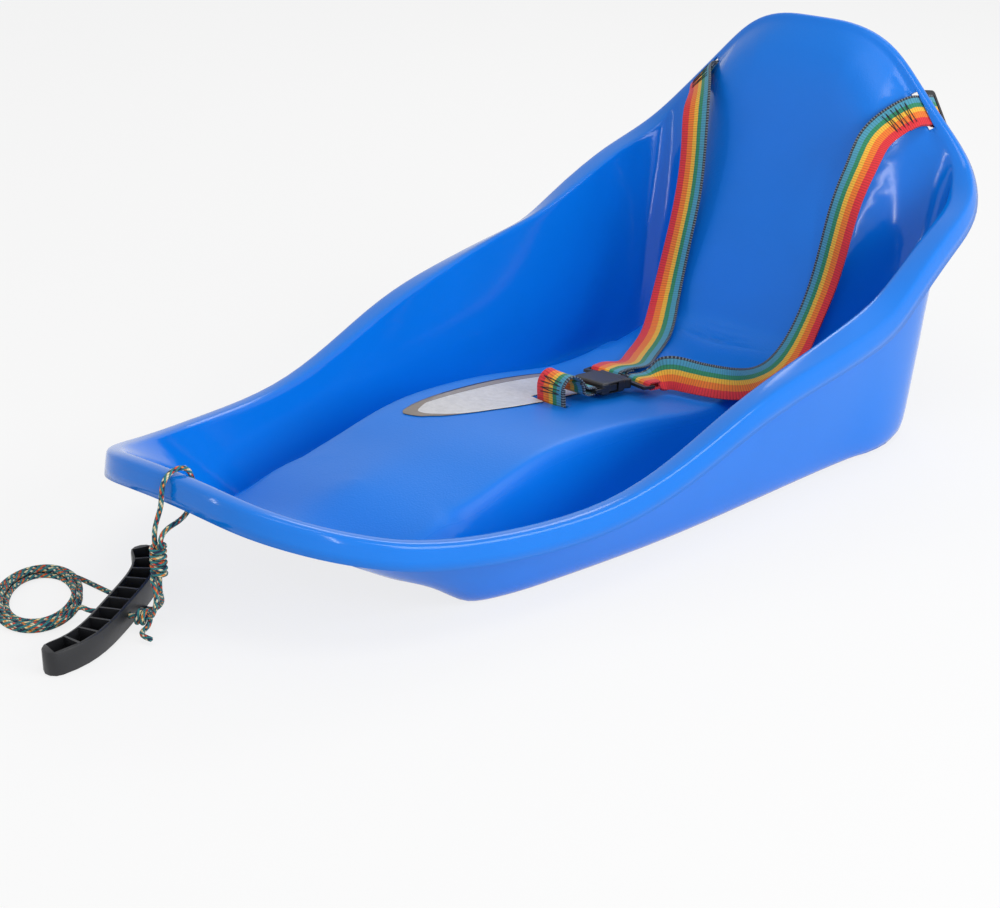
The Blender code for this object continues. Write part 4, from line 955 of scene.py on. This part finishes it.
def make_plate(skin):
    """Bare sticker that lies on the crown of the seat."""
    rows = np.array(PLATE)
    way = rows[:, 0] - rows[0, 0]

    def place(share, run):
        y, left, right = spline(way, rows, run * way[-1]).T
        start, end, edge = PLATE_NOTCH
        reach = np.where((y > start) & (y < end), (edge - left) / (right - left), 1.0)
        # beside the slot the right half alone gives way, so that the border stays even
        share = np.where(share > 0.5, 0.5 + (share - 0.5) * (2 * reach - 1), share)
        x = left + (right - left) * share
        points = []
        for spot in zip(x, y):
            found, normal, _, _ = skin.ray_cast(Vector((*spot, 0.2)), Vector((0, 0, -1)))
            if found is None:
                raise RuntimeError("the seat plate reaches past the moulding")
            points.append(found + normal * math.copysign(PLATE_LIFT, normal.z))
        return points

    shell = bent_grid("print", *PLATE_CELLS, way[-1], place)
    plate = add_piece("seat_plate", welded_mesh("seat_plate", shell), laminated_vinyl())
    thick = plate.modifiers.new("film", "SOLIDIFY")
    thick.thickness = PLATE_FILM


def finish_fittings(settings):
    """Black plastic on the buckle and the adjusters."""
    black = black_plastic(settings)
    for name in ("buckle_housing", "buckle_yoke", "release_arm_right", "release_arm_left",
                 "slot_adjuster_right", "slot_adjuster_left", "crotch_adjuster"):
        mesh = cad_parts[name].data
        for slot in range(len(mesh.materials)):
            mesh.materials[slot] = black


def seen_directly(add):
    """1 where the camera, a reflection or clear plastic looks at the background, else 0."""
    rays = add("LightPath").outputs
    seen = add("Math", {0: rays["Is Camera Ray"], 1: rays["Is Glossy Ray"]}, operation="ADD")
    return add("Math", {0: seen, 1: rays["Is Transmission Ray"]}, operation="ADD", use_clamp=True)


def make_stage(settings):
    """Pale floor, soft lamps, white surroundings and the camera."""
    shell = bmesh.new()
    bmesh.ops.create_grid(shell, x_segments=1, y_segments=1, size=FLOOR_HALF)
    bmesh.ops.translate(shell, verts=shell.verts, vec=(0, 0, -FLOOR_DROP))
    mesh = smooth_mesh("floor", shell)
    floor = new_object("floor", mesh)
    material, add, shader = start_material("matt_paper")
    set_inputs(shader, {"Base Color": FLOOR_GREY, "Roughness": 0.9})
    seen = seen_directly(add)
    glow = add("Emission", {"Color": PURE_WHITE, "Strength": 1.0})
    part = add("Math", {0: seen, 1: FLOOR_GLOW}, operation="MULTIPLY")
    blend = add("MixShader", {0: part, 1: shader, 2: glow})
    set_inputs(material.node_tree.nodes["Material Output"], {"Surface": blend})
    mesh.materials.append(material)

    world = bpy.data.worlds.new("studio")
    world.use_nodes = True
    bpy.context.scene.world = world
    add = partial(add_node, world.node_tree)
    level = add("MapRange", {"Value": seen_directly(add), "To Min": settings.ambient,
                             "To Max": 1.0})
    set_inputs(world.node_tree.nodes["Background"], {"Color": PURE_WHITE, "Strength": level})

    for name, spot, size, share in LAMPS:
        lamp = bpy.data.lights.new(name, "AREA")
        lamp.shape = "RECTANGLE"
        lamp.size, lamp.size_y = size
        lamp.energy = share * settings.key
        stand = new_object(name, lamp)
        stand.location = spot
        aim = Vector(LAMP_AIM) - Vector(spot)
        stand.rotation_euler = aim.to_track_quat("-Z", "Y").to_euler()

    bpy.context.scene.view_settings.view_transform = "Standard"
    make_camera()


def make_camera():
    """Camera at the photograph's angle."""
    azimuth, elevation, roll = (math.radians(angle) for angle in CAMERA_ANGLES)
    back = Vector((math.sin(azimuth) * math.cos(elevation),
                   -math.cos(azimuth) * math.cos(elevation), math.sin(elevation)))
    right = Vector((0, 0, 1)).cross(back).normalized()
    up = back.cross(right)
    turned_right = math.cos(roll) * right + math.sin(roll) * up
    turned_up = math.cos(roll) * up - math.sin(roll) * right
    camera_data = bpy.data.cameras.new("camera")
    camera = new_object("camera", camera_data)
    camera_data.sensor_width = 36
    camera_data.lens = CAMERA_LENS
    camera_data.shift_x, camera_data.shift_y = CAMERA_SHIFT
    axes = Matrix((turned_right, turned_up, back)).transposed().to_4x4()
    place = Vector(CAMERA_TARGET) + back * CAMERA_DISTANCE
    camera.matrix_world = Matrix.Translation(place) @ axes
    bpy.context.scene.camera = camera


class SLED_OT_stage(bpy.types.Operator):
    """Set up the floor, the lamps and the camera"""
    bl_idname = "sled.stage"
    bl_label = "Stage"

    def execute(self, context):
        make_stage(context.scene.sled_stage)
        return {"FINISHED"}


class SLED_OT_rope(bpy.types.Operator):
    """Lay the braided tow rope with its knots and its grip"""
    bl_idname = "sled.rope"
    bl_label = "Tow rope and grip"

    def execute(self, context):
        grip = make_grip(context.scene.sled_fittings)
        make_rope(context.scene.sled_rope)
        return {"FINISHED"}


class SLED_OT_harness(bpy.types.Operator):
    """Weave the three straps and sew them"""
    bl_idname = "sled.harness"
    bl_label = "Harness"

    def execute(self, context):
        make_harness(context.scene.sled_harness)
        return {"FINISHED"}


class SLED_OT_hull(bpy.types.Operator):
    """Skin the moulded hull"""
    bl_idname = "sled.hull"
    bl_label = "Hull"

    def execute(self, context):
        make_hull(context.scene.sled_hull)
        return {"FINISHED"}


class SLED_OT_fittings(bpy.types.Operator):
    """Finish the buckle and the adjusters"""
    bl_idname = "sled.fittings"
    bl_label = "Black fittings"

    def execute(self, context):
        finish_fittings(context.scene.sled_fittings)
        return {"FINISHED"}


class SLED_PT_pieces(bpy.types.Panel):
    """Pieces of the sled and their settings"""
    bl_idname = "SLED_PT_pieces"
    bl_label = "Plastic sled"
    bl_space_type = "VIEW_3D"
    bl_region_type = "UI"
    bl_category = "Sled"

    def draw(self, context):
        for operator, group in zip(OPERATORS, GROUPS):
            box = self.layout.box()
            box.operator(operator.bl_idname)
            settings = getattr(context.scene, group)
            for name in settings.bl_rna.properties.keys():
                if name not in ("rna_type", "name"):
                    box.prop(settings, name)


OPERATORS = (SLED_OT_stage, SLED_OT_rope, SLED_OT_harness, SLED_OT_hull, SLED_OT_fittings)
GROUPS = {
    "sled_stage": StageSettings, "sled_rope": RopeSettings, "sled_harness": HarnessSettings,
    "sled_hull": HullSettings, "sled_fittings": FittingSettings,
}


def register():
    """Register the settings, the operators and the panel."""
    for cls in (*GROUPS.values(), *OPERATORS, SLED_PT_pieces):
        bpy.utils.register_class(cls)
    for name, cls in GROUPS.items():
        setattr(bpy.types.Scene, name, PointerProperty(type=cls))


def unregister():
    """Take the settings, the operators and the panel away again."""
    for name in GROUPS:
        delattr(bpy.types.Scene, name)
    for cls in reversed((*GROUPS.values(), *OPERATORS, SLED_PT_pieces)):
        bpy.utils.unregister_class(cls)


def main():
    """Make every piece."""
    register()
    bpy.ops.sled.stage()
    bpy.ops.sled.rope()
    bpy.ops.sled.harness()
    bpy.ops.sled.hull()
    bpy.ops.sled.fittings()


if __name__ == "__main__":
    main()
